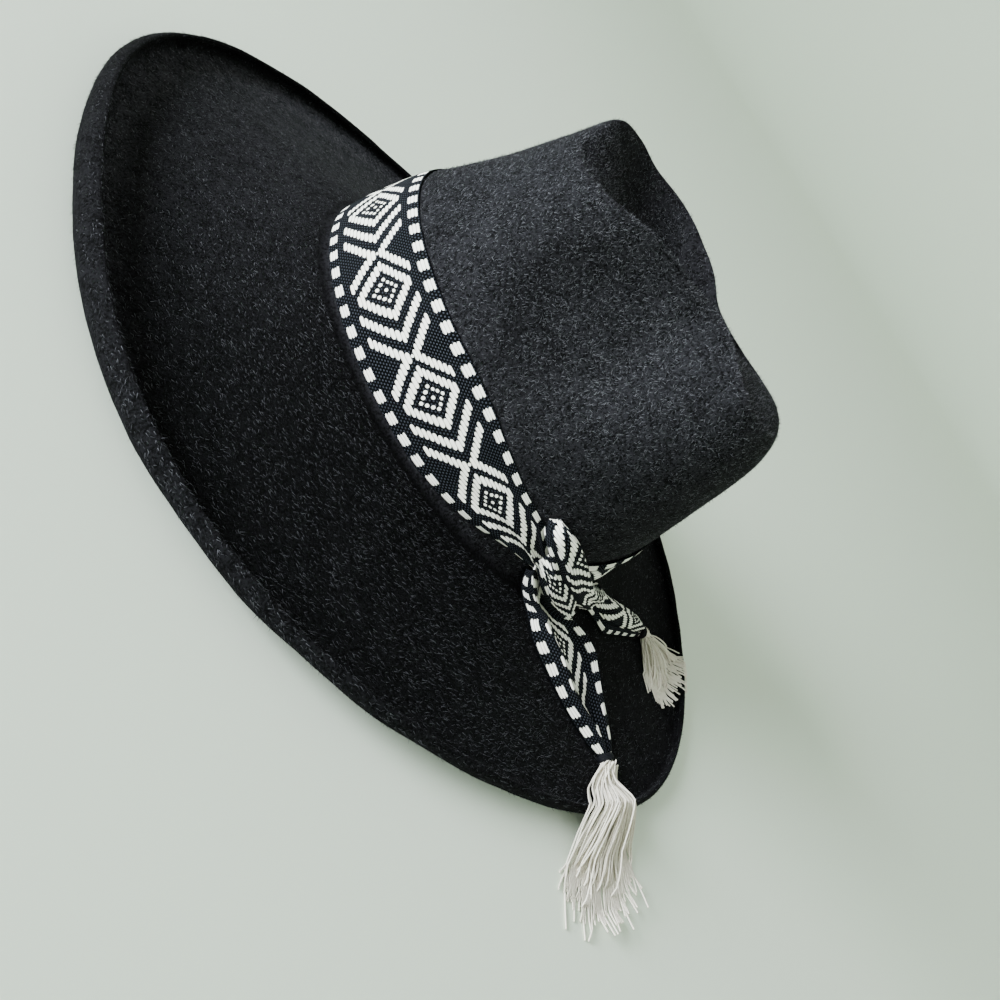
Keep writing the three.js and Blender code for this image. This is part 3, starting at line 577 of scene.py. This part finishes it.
# Cream strands float lengthwise, one to a cell in the middle field and narrower along the edges.
at_edge = calc("GREATER_THAN", v_out, EDGE_FROM)
strand = calc("ADD", calc("MULTIPLY", calc("ADD", v, 0.5), calc("SUBTRACT", 1, at_edge)),
              calc("MULTIPLY", calc("MULTIPLY_ADD", v, 1.28, 0.35), at_edge))
dip = calc("ABSOLUTE", calc("SUBTRACT", calc("FRACT", strand), 0.5))
# Each float ends in a soft point, and a little unevenly from strand to strand.
ragged = add(tree, "ShaderNodeTexWhiteNoise", [("W", calc("FLOOR", strand))], noise_dimensions="1D")
ragged = ragged.outputs[0]
cell_u = calc("MULTIPLY_ADD", calc("SUBTRACT", ragged, 0.5), 0.22, u)
trim = calc("MULTIPLY_ADD", calc("MULTIPLY", dip, dip), 2.2, 0.04)
i = calc("FLOORED_MODULO", cell_u, REPEAT)
j = calc("ABSOLUTE", calc("FLOOR", calc("ADD", v, 0.5)))
a = calc("ADD", i, j)
b = calc("ADD", calc("SUBTRACT", REPEAT, i), j)
m = calc("MINIMUM", a, b)
long_float = calc("SUBTRACT", 1.5, trim)
short_float = calc("SUBTRACT", 0.5, calc("MULTIPLY", trim, 0.6))
eye = calc("COMPARE", m, 0, short_float)
dots = calc("COMPARE", m, 3, short_float)
ring = calc("MULTIPLY", calc("COMPARE", m, 7, long_float), calc("LESS_THAN", j, 7.5))
chevron = calc("COMPARE", a, 13, long_float)
near_cross = calc("MAXIMUM", calc("LESS_THAN", a, calc("SUBTRACT", 20.5, trim)),
                  calc("LESS_THAN", b, calc("SUBTRACT", 13.5, trim)))
past_cross = calc("MULTIPLY", calc("GREATER_THAN", a, calc("ADD", 17.5, trim)),
                  calc("GREATER_THAN", b, calc("ADD", 10.5, trim)))
cross = calc("MULTIPLY", near_cross, past_cross)
figure = calc("MAXIMUM", calc("MAXIMUM", calc("MAXIMUM", eye, dots), calc("MAXIMUM", ring, chevron)), cross)
figure = calc("MULTIPLY", figure, calc("LESS_THAN", j, FIELD_HALF))
# Squares along both edges, five to a repeat, the upper row set half a step along.
step = calc("MULTIPLY_ADD", calc("GREATER_THAN", v, 0), 2.75, cell_u)
step = calc("FLOORED_MODULO", calc("ADD", step, 1.43), 5.8)
square = calc("LESS_THAN", step, calc("SUBTRACT", 3.3, trim))
square = calc("MULTIPLY", square, calc("GREATER_THAN", step, trim))
square = calc("MULTIPLY", square, calc("COMPARE", v_out, 11.7, 1.17))
cream = calc("MAXIMUM", figure, square)
# The dark ground is a fine rib with paler dashes, staggered from rib to rib.
rib = calc("MULTIPLY", v, 1.5)
rib_dip = calc("ABSOLUTE", calc("SUBTRACT", calc("FRACT", rib), 0.5))
dash = calc("FRACT", calc("MULTIPLY_ADD", calc("FLOORED_MODULO", calc("FLOOR", rib), 2), 0.5, u))
speck = calc("MULTIPLY", calc("LESS_THAN", dash, 0.45), calc("LESS_THAN", rib_dip, 0.24))
# The fibres are drawn out along the ribbon.
fibre_place = add(tree, "ShaderNodeVectorMath", [
    (0, add(tree, "ShaderNodeUVMap").outputs[0]), (1, (2.5, 14, 1))], operation="MULTIPLY")
fibre = add(tree, "ShaderNodeTexNoise", [("Vector", fibre_place.outputs[0]), ("Scale", 1.0), ("Detail", 3)])
# The cream darkens towards each strand's edge: painted shade between the strands.
cream_with_painted_shade = ramp(tree, dip, (0.36, "#FFFEF4"), (0.5, "#A3A094"))
dark_tone = add(tree, "ShaderNodeMix", [
    (0, speck), (6, linear("#030405")), (7, linear("#33363D"))], data_type="RGBA")
fibre_tone = add(tree, "ShaderNodeMapRange", [(0, fibre.outputs[0]), (3, 0.9), (4, 1.12)])
cloth_colour = add(tree, "ShaderNodeMix", [
    (0, cream), (6, dark_tone.outputs[2]), (7, cream_with_painted_shade)], data_type="RGBA")
cloth_colour = add(tree, "ShaderNodeVectorMath", [
    (0, cloth_colour.outputs[2]), (1, fibre_tone.outputs[0])], operation="MULTIPLY")
float_height = calc("MULTIPLY", cream, calc("MULTIPLY_ADD", calc("MULTIPLY", dip, dip), -3.0, 1))
ground_height = calc("MULTIPLY", calc("SUBTRACT", 1, cream), calc("MULTIPLY", speck, 0.3))
weave_relief = add(tree, "ShaderNodeBump", [
    ("Strength", 0.8), ("Distance", 0.0003), ("Height", calc("ADD", float_height, ground_height))])
surface(tree, cloth_colour.outputs[0], 0.85, 0.04, ("Normal", weave_relief.outputs[0]))

# Where the cloth's two edges run on the crown, by distance along the band from the front.
BAND_EDGE = {
    "u": [0, 130, 150, 165, 190, 207, 217, 226, 238, 250, 262, 275, 300],
    "low": [-2.4, -2.4, -2.2, -1.5, 1.8, 6, 7.5, 8, 8, 5, 1, -1.5, -2.4],
    "high": [42.7, 42.7, 41.5, 39, 32.3, 28, 22, 18, 19, 24, 30, 37, 42.7],
    "out": [0, 0, 0, 0.2, 0.8, 1.5, 2, 2.5, 2.5, 2.5, 2, 1, 0],
}


def wall_level(height):
    return np.interp(height, WALL["height"], np.arange(len(WALL["height"])))


def cloth(name, top, thickness, uv_mm, material, around=False):
    """A closed sheet of ribbon: upper face at the given grid of points, thickness below it."""
    if around:
        along_u = np.roll(top, -1, 0) - np.roll(top, 1, 0)
    else:
        along_u = np.gradient(top, axis=0)
    face = np.cross(along_u, np.gradient(top, axis=1))
    face /= np.maximum(np.linalg.norm(face, axis=-1, keepdims=True), 1e-9)
    bottom = top - face * thickness
    n, c = top.shape[:2]
    loops = np.concatenate([top, bottom[:, ::-1]], 1)
    uv_grid = np.concatenate([uv_mm, uv_mm[:, ::-1]], 1) / CELL
    faces = []
    for r in range(n if around else n - 1):
        for k in range(2 * c):
            q, s = (k + 1) % (2 * c), (r + 1) % n
            faces.append((r * 2 * c + k, s * 2 * c + k, s * 2 * c + q, r * 2 * c + q))
    if not around:
        for r, flip in ((0, False), (n - 1, True)):
            for k in range(c - 1):
                quad = (r * 2 * c + k, r * 2 * c + k + 1, (r + 1) * 2 * c - 2 - k, (r + 1) * 2 * c - 1 - k)
                faces.append(quad[::-1] if flip else quad)
    made = closed_mesh(name, loops, faces, material)
    layer = made.data.uv_layers.new(name="weave")
    index = np.zeros(len(made.data.loops), int)
    made.data.loops.foreach_get("vertex_index", index)
    flat = uv_grid.reshape(-1, 2)[index].copy()
    if around:
        # the last strip of faces goes on from where the one before it ended
        poly = np.repeat(np.arange(len(faces)), 4) // (2 * c)
        period = uv_grid[1, 0, 0] - uv_grid[0, 0, 0] + uv_grid[-1, 0, 0] - uv_grid[0, 0, 0]
        wrap = (poly == n - 1) & (index < 2 * c)
        flat[wrap, 0] += period
    layer.data.foreach_set("uv", flat.ravel())
    tidy = bmesh.new()
    tidy.from_mesh(made.data)
    bmesh.ops.recalc_face_normals(tidy, faces=tidy.faces)
    tidy.to_mesh(made.data)
    tidy.free()
    return made


fine = np.linspace(0, 360, 7201)
middle = crown_offset(fine, wall_level(20.35) + 0 * fine, 1.3 + 0 * fine)
distance = np.concatenate([[0], np.cumsum(np.linalg.norm(np.diff(middle, axis=0), axis=1))])
band_length = distance[-1]
FIRST_DIAMOND = 88.1

band_u = np.linspace(0, band_length, 640, endpoint=False)
band_v = np.linspace(-RIBBON_HALF, RIBBON_HALF, 47)
U, V = np.meshgrid(band_u, band_v, indexing="ij")
low, high = along(BAND_EDGE, "u", "low", band_u)[:, None], along(BAND_EDGE, "u", "high", band_u)[:, None]
# Past the knot the table's last row holds, so the far half of the band is flat again.
squeeze = (high - low) / (2 * RIBBON_HALF)
gathered = np.clip(1 - squeeze, 0, 1)
share = (V + RIBBON_HALF) / (2 * RIBBON_HALF)
height = low + (high - low) * share
PLEAT_DEPTH, PLEATS = 3.4, 2.5
pleats = gathered * PLEAT_DEPTH * np.sin(share * 2 * np.pi * PLEATS + 0.6 * np.sin(U * 0.09))
pleats = pleats * np.sin(np.pi * share) ** 0.5
crowned = along(BAND_EDGE, "u", "out", band_u)[:, None] * np.sin(np.pi * share) ** 0.8
edge_thin = -0.25 * np.abs(V / RIBBON_HALF) ** 12
theta = np.interp(U, distance, fine)
band_top = crown_offset(theta, wall_level(height), 1.35 + crowned + np.maximum(pleats, -0.5) + edge_thin)
uv_grid = np.stack([U - FIRST_DIAMOND, V], -1)
woven_band = cloth("woven_band", band_top, RIBBON, uv_grid, ribbon_cloth, around=True)
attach(woven_band, "root")
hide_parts("hat_band")

# The knot is the same ribbon, tied once over itself. One turn comes out from behind the band's
# upper edge, folded in half, arches over the others and runs on into the short tail; the other
# is twisted up inside it and comes out below as the long tail.
def strip(name, edges, section, narrow=None, start_u=0, slack=0.0, columns=56, rest=True):
    """Ribbon laid between two edges: near and far points down its length, with a cross-section
    whose lift and place across are shares of the width there, and v the place in the weave.
    Slack is the depth of its gathers. If it rests, it keeps above the brim."""
    near = np.stack([edges["near_x"], edges["near_y"], edges["near_z"]], -1).astype(float)
    far = np.stack([edges["far_x"], edges["far_y"], edges["far_z"]], -1).astype(float)
    centre = (near + far) / 2
    reach = np.concatenate([[0], np.cumsum(np.linalg.norm(np.diff(centre, axis=0), axis=1))])
    at = np.linspace(0, reach[-1], int(reach[-1]))

    def smooth(points):
        return np.stack([along({"s": reach, "c": points[:, c]}, "s", "c", at) for c in range(3)], -1)

    near, far = smooth(near), smooth(far)
    width = np.linalg.norm(far - near, axis=1)
    forward = np.gradient((near + far) / 2, axis=0)
    normal = np.cross(forward, far - near)
    normal /= np.linalg.norm(normal, axis=1, keepdims=True)
    if (normal @ np.array([0.55, 0.5, 0.6])).sum() < 0:
        normal = -normal
    k = np.linspace(0, len(section["v"]) - 1, columns)

    def profile(table, column):
        return along({"k": range(len(table["v"])), "c": table[column]}, "k", "c", k)

    wide = np.clip((width - 11) / 24, 0, 1)[:, None] if narrow else np.ones((len(at), 1))
    narrow = narrow or section
    across = profile(section, "across") * wide + profile(narrow, "across") * (1 - wide)
    lift = (profile(section, "lift") * wide + profile(narrow, "lift") * (1 - wide)) * width[:, None]
    v = profile(section, "v") * wide + profile(narrow, "v") * (1 - wide)
    fade = np.sin(np.pi * np.linspace(0, 1, columns)) ** 0.5
    lift = lift + slack * np.sin(v * 0.55 + 0.05 * at[:, None]) * fade
    top = near[:, None] + (far - near)[:, None] * across[..., None] + normal[:, None] * lift[..., None]
    if rest:
        for r in range(top.shape[0]):
            for c in range(columns):
                top[r, c, 2] = max(top[r, c, 2], felt_top(*top[r, c, :2]) + 1.15)
    u = start_u + at[:, None] + 0 * v
    return cloth(name, top, TAIL_RIBBON, np.stack([u - FIRST_DIAMOND, v], -1), ribbon_cloth)


def cut_length(piece):
    """Length of cloth in a piece, in metres, from how far the weave runs along it."""
    weave = np.zeros(2 * len(piece.data.loops))
    piece.data.uv_layers["weave"].data.foreach_get("uv", weave)
    return float(np.ptp(weave[::2])) * CELL * MM


felt_faces = BVHTree.FromPolygons([v.co for v in felt_hat.data.vertices],
                                  [tuple(f.vertices) for f in felt_hat.data.polygons])


def felt_top(x, y):
    """Height of the brim's upper face, or of the crown's foot, in millimetres."""
    point = felt_faces.ray_cast(Vector((x, y - BRIM_MIDDLE_Y, 26)) * MM, Vector((0, 0, -1)))[0]
    return point.z / MM if point else -5.0


HALF_FOLD = {
    "across": [0, 0.12, 0.28, 0.5, 0.75, 0.93, 1, 0.92, 0.6, 0.25],
    "lift": [0, 0.13, 0.21, 0.26, 0.24, 0.13, -0.02, -0.15, -0.2, -0.18],
    "v": [-22.85, -19.5, -15, -10, -5, -1.5, 1.5, 5, 12, 22.85],
}
WRAP = {
    "near_x": [61, 66.6, 67.1, 65, 58, 42, 24],
    "near_y": [66, 70.4, 74.9, 80.8, 88.5, 100.1, 110.7],
    "near_z": [47, 46.5, 44.6, 41.2, 35.2, 27.2, 20.5],
    "far_x": [61, 69, 64.6, 55.9, 42.4, 27, 8],
    "far_y": [65, 70.3, 78.5, 87, 95.7, 104.2, 111.5],
    "far_z": [55, 59, 57.7, 52.1, 43.7, 34.9, 28.3],
}
INNER_TWIST = {
    "near_x": [57.5, 57, 52, 44, 38],
    "near_y": [77, 84.9, 93, 101, 108.2],
    "near_z": [33.7, 32.4, 26.5, 21.5, 18],
    "far_x": [59, 59.7, 52, 39, 32],
    "far_y": [77, 84, 92, 102.5, 109],
    "far_z": [40.5, 41.6, 38.5, 30, 22],
}
TWISTED = {
    "across": [0.1, 0, 0.15, 0.5, 0.85, 1, 0.9],
    "lift": [-0.3, 0, 0.28, 0.36, 0.28, 0, -0.3],
    "v": [-14, -10, -6, 0, 6, 10, 14],
}
# The outer turn takes the whole ribbon into less than half its width, so its gathers are deepest.
knot_turn = strip("knot_turn", WRAP, HALF_FOLD, start_u=262, slack=1.15, rest=False)
inner_turn = strip("inner_turn", INNER_TWIST, TWISTED, start_u=275, slack=0.5, rest=False)
for turn_piece in (knot_turn, inner_turn):
    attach(turn_piece, "root")
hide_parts("band_knot")
cut_length(knot_turn)
cut_length(inner_turn)

# The long tail drops from the knot and lies out over the brim, its lower edge turned up towards
# the face and its upper edge standing, and it is gathered to a point where the thread binds it.
LONG_TAIL = {
    "near_x": [57, 55, 54.5, 56, 62, 64, 65.5, 65.3, 63.8, 62.6, 61.2],
    "near_y": [77.7, 82.2, 88.5, 95.8, 106, 117, 128, 140, 152, 160, 165.8],
    "near_z": [26.4, 19.7, 15.6, 13.4, 11.8, 10.2, 8.8, 7.4, 6.2, 6, 6.2],
    "far_x": [58, 53, 42, 31, 24, 23, 28.5, 35, 42, 47.4, 53.5],
    "far_y": [81, 90.4, 101, 110.7, 122, 132, 140, 149, 158, 166, 171],
    "far_z": [34.7, 30.3, 22.6, 18.5, 17, 16, 14.5, 12.5, 11, 9.2, 8],
}
OPEN_TAIL = {
    "across": [0, 0.09, 0.18, 0.24, 0.28, 0.42, 0.6, 0.75, 0.82, 0.91, 1],
    "lift": [0, 0.06, 0.11, 0.115, 0.05, -0.03, -0.07, -0.09, -0.075, -0.035, 0],
    "v": [-22.85, -19, -14.5, -12, -9.5, -4, 4, 11, 15, 18.5, 22.85],
}
GATHERED_TAIL = {
    "across": [0, 0.2, 0.4, 0.5, 0.52, 0.5, 0.5, 0.52, 0.6, 0.78, 1],
    "lift": [0, 0.16, 0.26, 0.22, -0.02, -0.3, -0.42, -0.3, 0, 0.12, 0],
    "v": [-22.85, -19, -14.5, -12, -9.5, -4, 4, 11, 14.5, 18.5, 22.85],
}
long_tail = strip("long_tail", LONG_TAIL, OPEN_TAIL, GATHERED_TAIL, start_u=240, slack=0.3)
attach(long_tail, "root")
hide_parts("tail_long")

# The short tail goes on from the outer turn of the knot towards the back of the brim, folded
# lengthwise so that a row of squares shows below the fold.
SHORT_TAIL = {
    "near_x": [20, 4, -2.6, -5.2, -14.4, -25.6, -36, -45.5],
    "near_y": [108, 117.6, 125.9, 133.1, 138.5, 144.2, 149.5, 153.8],
    "near_z": [22, 14.4, 11.4, 10, 9.2, 8.2, 7.4, 7.2],
    "far_x": [6, -8, -12, -17, -27, -37, -45, -51],
    "far_y": [109, 113, 117.5, 121.5, 129, 136.5, 143, 148.8],
    "far_z": [28.3, 21.5, 20, 19, 17, 15, 13, 10.5],
}
FOLDED_TAIL = {
    "across": [0, 0.12, 0.25, 0.3, 0.34, 0.55, 0.8, 0.95, 1, 0.92, 0.55, 0.12],
    "lift": [0, 0.08, 0.12, 0.05, 0.16, 0.32, 0.26, 0.12, -0.03, -0.12, -0.2, -0.2],
    "v": [-22.85, -18.5, -14.8, -13.4, -12, -6, 1, 5.5, 8, 11, 17, 22.85],
}
short_tail = strip("short_tail", SHORT_TAIL, FOLDED_TAIL, start_u=325, slack=0.35)
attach(short_tail, "root")
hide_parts("tail_short")

# Dark cotton thread is wound round each tail's gathered end, some five turns, to hold the tassel.
# The turns lie close together and a little aslant.
bound_thread, tree = new_material("navy_cotton_thread")
place = add(tree, "ShaderNodeTexCoord").outputs["Object"]
fuzz = add(tree, "ShaderNodeTexNoise", [("Vector", place), ("Scale", 2500), ("Detail", 2)])
surface(tree, ramp(tree, fuzz.outputs[0], (0, "#030407"), (1, "#0B0D15")), 0.8, 0.2)


def wound_binding(name, start, end, radius, node):
    start, end = np.array(start, float), np.array(end, float)
    axis = (end - start) / np.linalg.norm(end - start)
    side = np.cross(axis, (0, 0, 1))
    side /= np.linalg.norm(side)
    up = np.cross(side, axis)
    turns_wound, sides, thread_bulge = 5, 28, 0.28
    count = turns_wound * 6 + 1
    rings = []
    for t in np.linspace(0, 1, count):
        swell_out = radius * (0.86 + 0.14 * math.sin(math.pi * t))
        swell_out += thread_bulge * abs(math.sin(math.pi * t * turns_wound))
        for a in np.arange(sides) * 2 * math.pi / sides:
            lean = 0.35 * math.sin(a)
            rings.append(start + axis * ((end - start) @ axis * t + lean)
                         + (side * math.cos(a) * 1.12 + up * math.sin(a) * 0.9) * swell_out)
    faces = grid_faces(count, sides, True)
    faces += [tuple(range(sides)), tuple(range(count * sides - 1, (count - 1) * sides - 1, -1))]
    made = closed_mesh(name, rings, faces, bound_thread)
    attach(made, "root")
    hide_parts(node)
    return made


LONG_BOUND = [(57, 167.2, 7), (58.4, 170.4, 7)]
SHORT_BOUND = [(-48.6, 151.6, 8.2), (-51.2, 153.9, 8)]
long_binding = wound_binding("long_binding", *LONG_BOUND, 3.9, "binding_long")
short_binding = wound_binding("short_binding", *SHORT_BOUND, 3.6, "binding_short")

# Each tassel is a bundle of soft cotton strands, cut uneven, that hang from the binding and
# fan out; here every strand is a little thicker than the real thread so that it shows.
STRAND = 0.42
tassel_cotton, tree = new_material("cream_cotton_strands")
place = add(tree, "ShaderNodeTexCoord").outputs["Object"]
fibre = add(tree, "ShaderNodeTexNoise", [("Vector", place), ("Scale", 900), ("Detail", 3)])
tones = ramp(tree, fibre.outputs[0], (0, "#D6CEBB"), (1, "#FBF7EC"))
surface(tree, tones, 0.8, 0.25, ("Sheen Weight", 0.15))

strand_tree = bpy.data.node_groups.new("strands_along_lines", "GeometryNodeTree")
strand_tree.interface.new_socket("Geometry", in_out="INPUT", socket_type="NodeSocketGeometry")
strand_size = strand_tree.interface.new_socket("Strand radius", in_out="INPUT", socket_type="NodeSocketFloat")
strand_tree.interface.new_socket("Geometry", in_out="OUTPUT", socket_type="NodeSocketGeometry")
came_in = add(strand_tree, "NodeGroupInput")
lines = add(strand_tree, "GeometryNodeMeshToCurve", [("Mesh", came_in.outputs[0])])
ring = add(strand_tree, "GeometryNodeCurvePrimitiveCircle", [
    ("Resolution", 4), ("Radius", came_in.outputs[1])])
swept = add(strand_tree, "GeometryNodeCurveToMesh", [
    ("Curve", lines.outputs[0]), ("Profile Curve", ring.outputs[0]), ("Fill Caps", True)])
real = add(strand_tree, "GeometryNodeRealizeInstances", [("Geometry", swept.outputs[0])])
painted = add(strand_tree, "GeometryNodeSetMaterial", [
    ("Geometry", real.outputs[0]), ("Material", tassel_cotton)])
add(strand_tree, "NodeGroupOutput", [(0, painted.outputs[0])])


# Soft strands bridge the valley and bend gently over the brim's edge. Their bed is the height of
# the felt or the floor on a fine grid, raised where the fall would be steeper than they bend.
BED_STEP, BED_SLOPE, BED_PASSES = 1.5, 0.5, 26
bed_x = np.arange(-105, 150, BED_STEP)
bed_y = np.arange(140, 225, BED_STEP)
bed = np.array([[max(felt_top(x, y), 0.0) for y in bed_y] for x in bed_x])
for _ in range(BED_PASSES):
    for shift_x, shift_y in ((1, 0), (0, 1), (1, 1), (1, -1)):
        for sign in (1, -1):
            moved = np.roll(bed, (sign * shift_x, sign * shift_y), (0, 1))
            bed = np.maximum(bed, moved - BED_SLOPE * BED_STEP * math.hypot(shift_x, shift_y))


def bed_height(x, y):
    """The bed's height between its grid points."""
    r = np.clip((x - bed_x[0]) / BED_STEP, 0, len(bed_x) - 1.001)
    c = np.clip((y - bed_y[0]) / BED_STEP, 0, len(bed_y) - 1.001)
    i, k, r, c = int(r), int(c), r % 1, c % 1
    return ((bed[i, k] * (1 - c) + bed[i, k + 1] * c) * (1 - r)
            + (bed[i + 1, k] * (1 - c) + bed[i + 1, k + 1] * c) * r)


def tassel(name, node, start, guides, count, seed, neck, belly):
    """Strands from the binding, spread over the row of tips, following the felt and then the floor.
    Neck is the bundle's width at the binding, and belly how far its outer strands swell out."""
    rng = np.random.default_rng(seed)
    start = np.array(start, float)
    tips = np.array([(x, y, 0) for x, y in guides], float)
    points, links, pieces = [], [], 26
    for n in range(count):
        pick = rng.uniform(0, len(guides) - 1)
        i = min(int(pick), len(guides) - 2)
        tip = tips[i] + (tips[i + 1] - tips[i]) * (pick - i)
        tip = start + (tip - start) * rng.uniform(0.8, 1.02) + rng.normal(size=3) * (2.2, 2.2, 0)
        root = start + rng.normal(size=3) * neck * 0.5
        span = np.linalg.norm(tip - root)
        bow = rng.normal(size=3) * span * 0.04
        curl = rng.normal(size=3) * span * 0.016
        out, late = rng.uniform(0.3, 1.3), rng.uniform(0.8, 1.7)
        layer = abs(rng.normal()) * 2.4
        turn = rng.uniform(0, 6.28)
        spread_out = np.cross(tip - root, (0, 0, 1)) / span
        from_middle = (pick / (len(guides) - 1) - 0.5) * 2
        first = len(points)
        for s in range(pieces + 1):
            t = s / pieces
            p = root + (tip - root) * t + bow * math.sin(math.pi * t) + curl * math.sin(turn + 9 * t) * t
            p -= spread_out * from_middle * belly * out * math.sin(math.pi * t**late)
            lowest = bed_height(p[0], p[1]) + STRAND
            lying = lowest + 0.2 + layer * math.sin(math.pi * min(t * 1.3, 1)) ** 0.5
            p[2] = max(root[2] + (lying - root[2]) * min(1, t * 5), lowest)
            points.append(tuple((p - (0, BRIM_MIDDLE_Y, 0)) * MM))
            if s:
                links.append((first + s - 1, first + s))
    guide = bpy.data.meshes.new(name + "_lines")
    guide.from_pydata(points, links, [])
    holder = bpy.data.objects.new(name + "_lines", guide)
    bpy.context.scene.collection.objects.link(holder)
    made = grown(name, holder, strand_tree, {strand_size.identifier: STRAND * MM})
    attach(made, "root")
    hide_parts(node)
    return made


LONG_TIPS = [(132, 180), (137, 191), (134, 201), (125, 209), (112, 213), (97, 214), (82, 213)]
SHORT_TIPS = [(-26, 179), (-31, 188), (-38, 193), (-50, 194), (-64, 192), (-79, 187)]
long_tassel = tassel("long_tassel", "tassel_long", (59.4, 172, 7.2), LONG_TIPS,
                     count=170, seed=11, neck=3.0, belly=3.6)
short_tassel = tassel("short_tassel", "tassel_short", (-52.2, 155, 8), SHORT_TIPS,
                      count=130, seed=12, neck=2.6, belly=2.4)
cut_length(long_tail)
cut_length(short_tail)
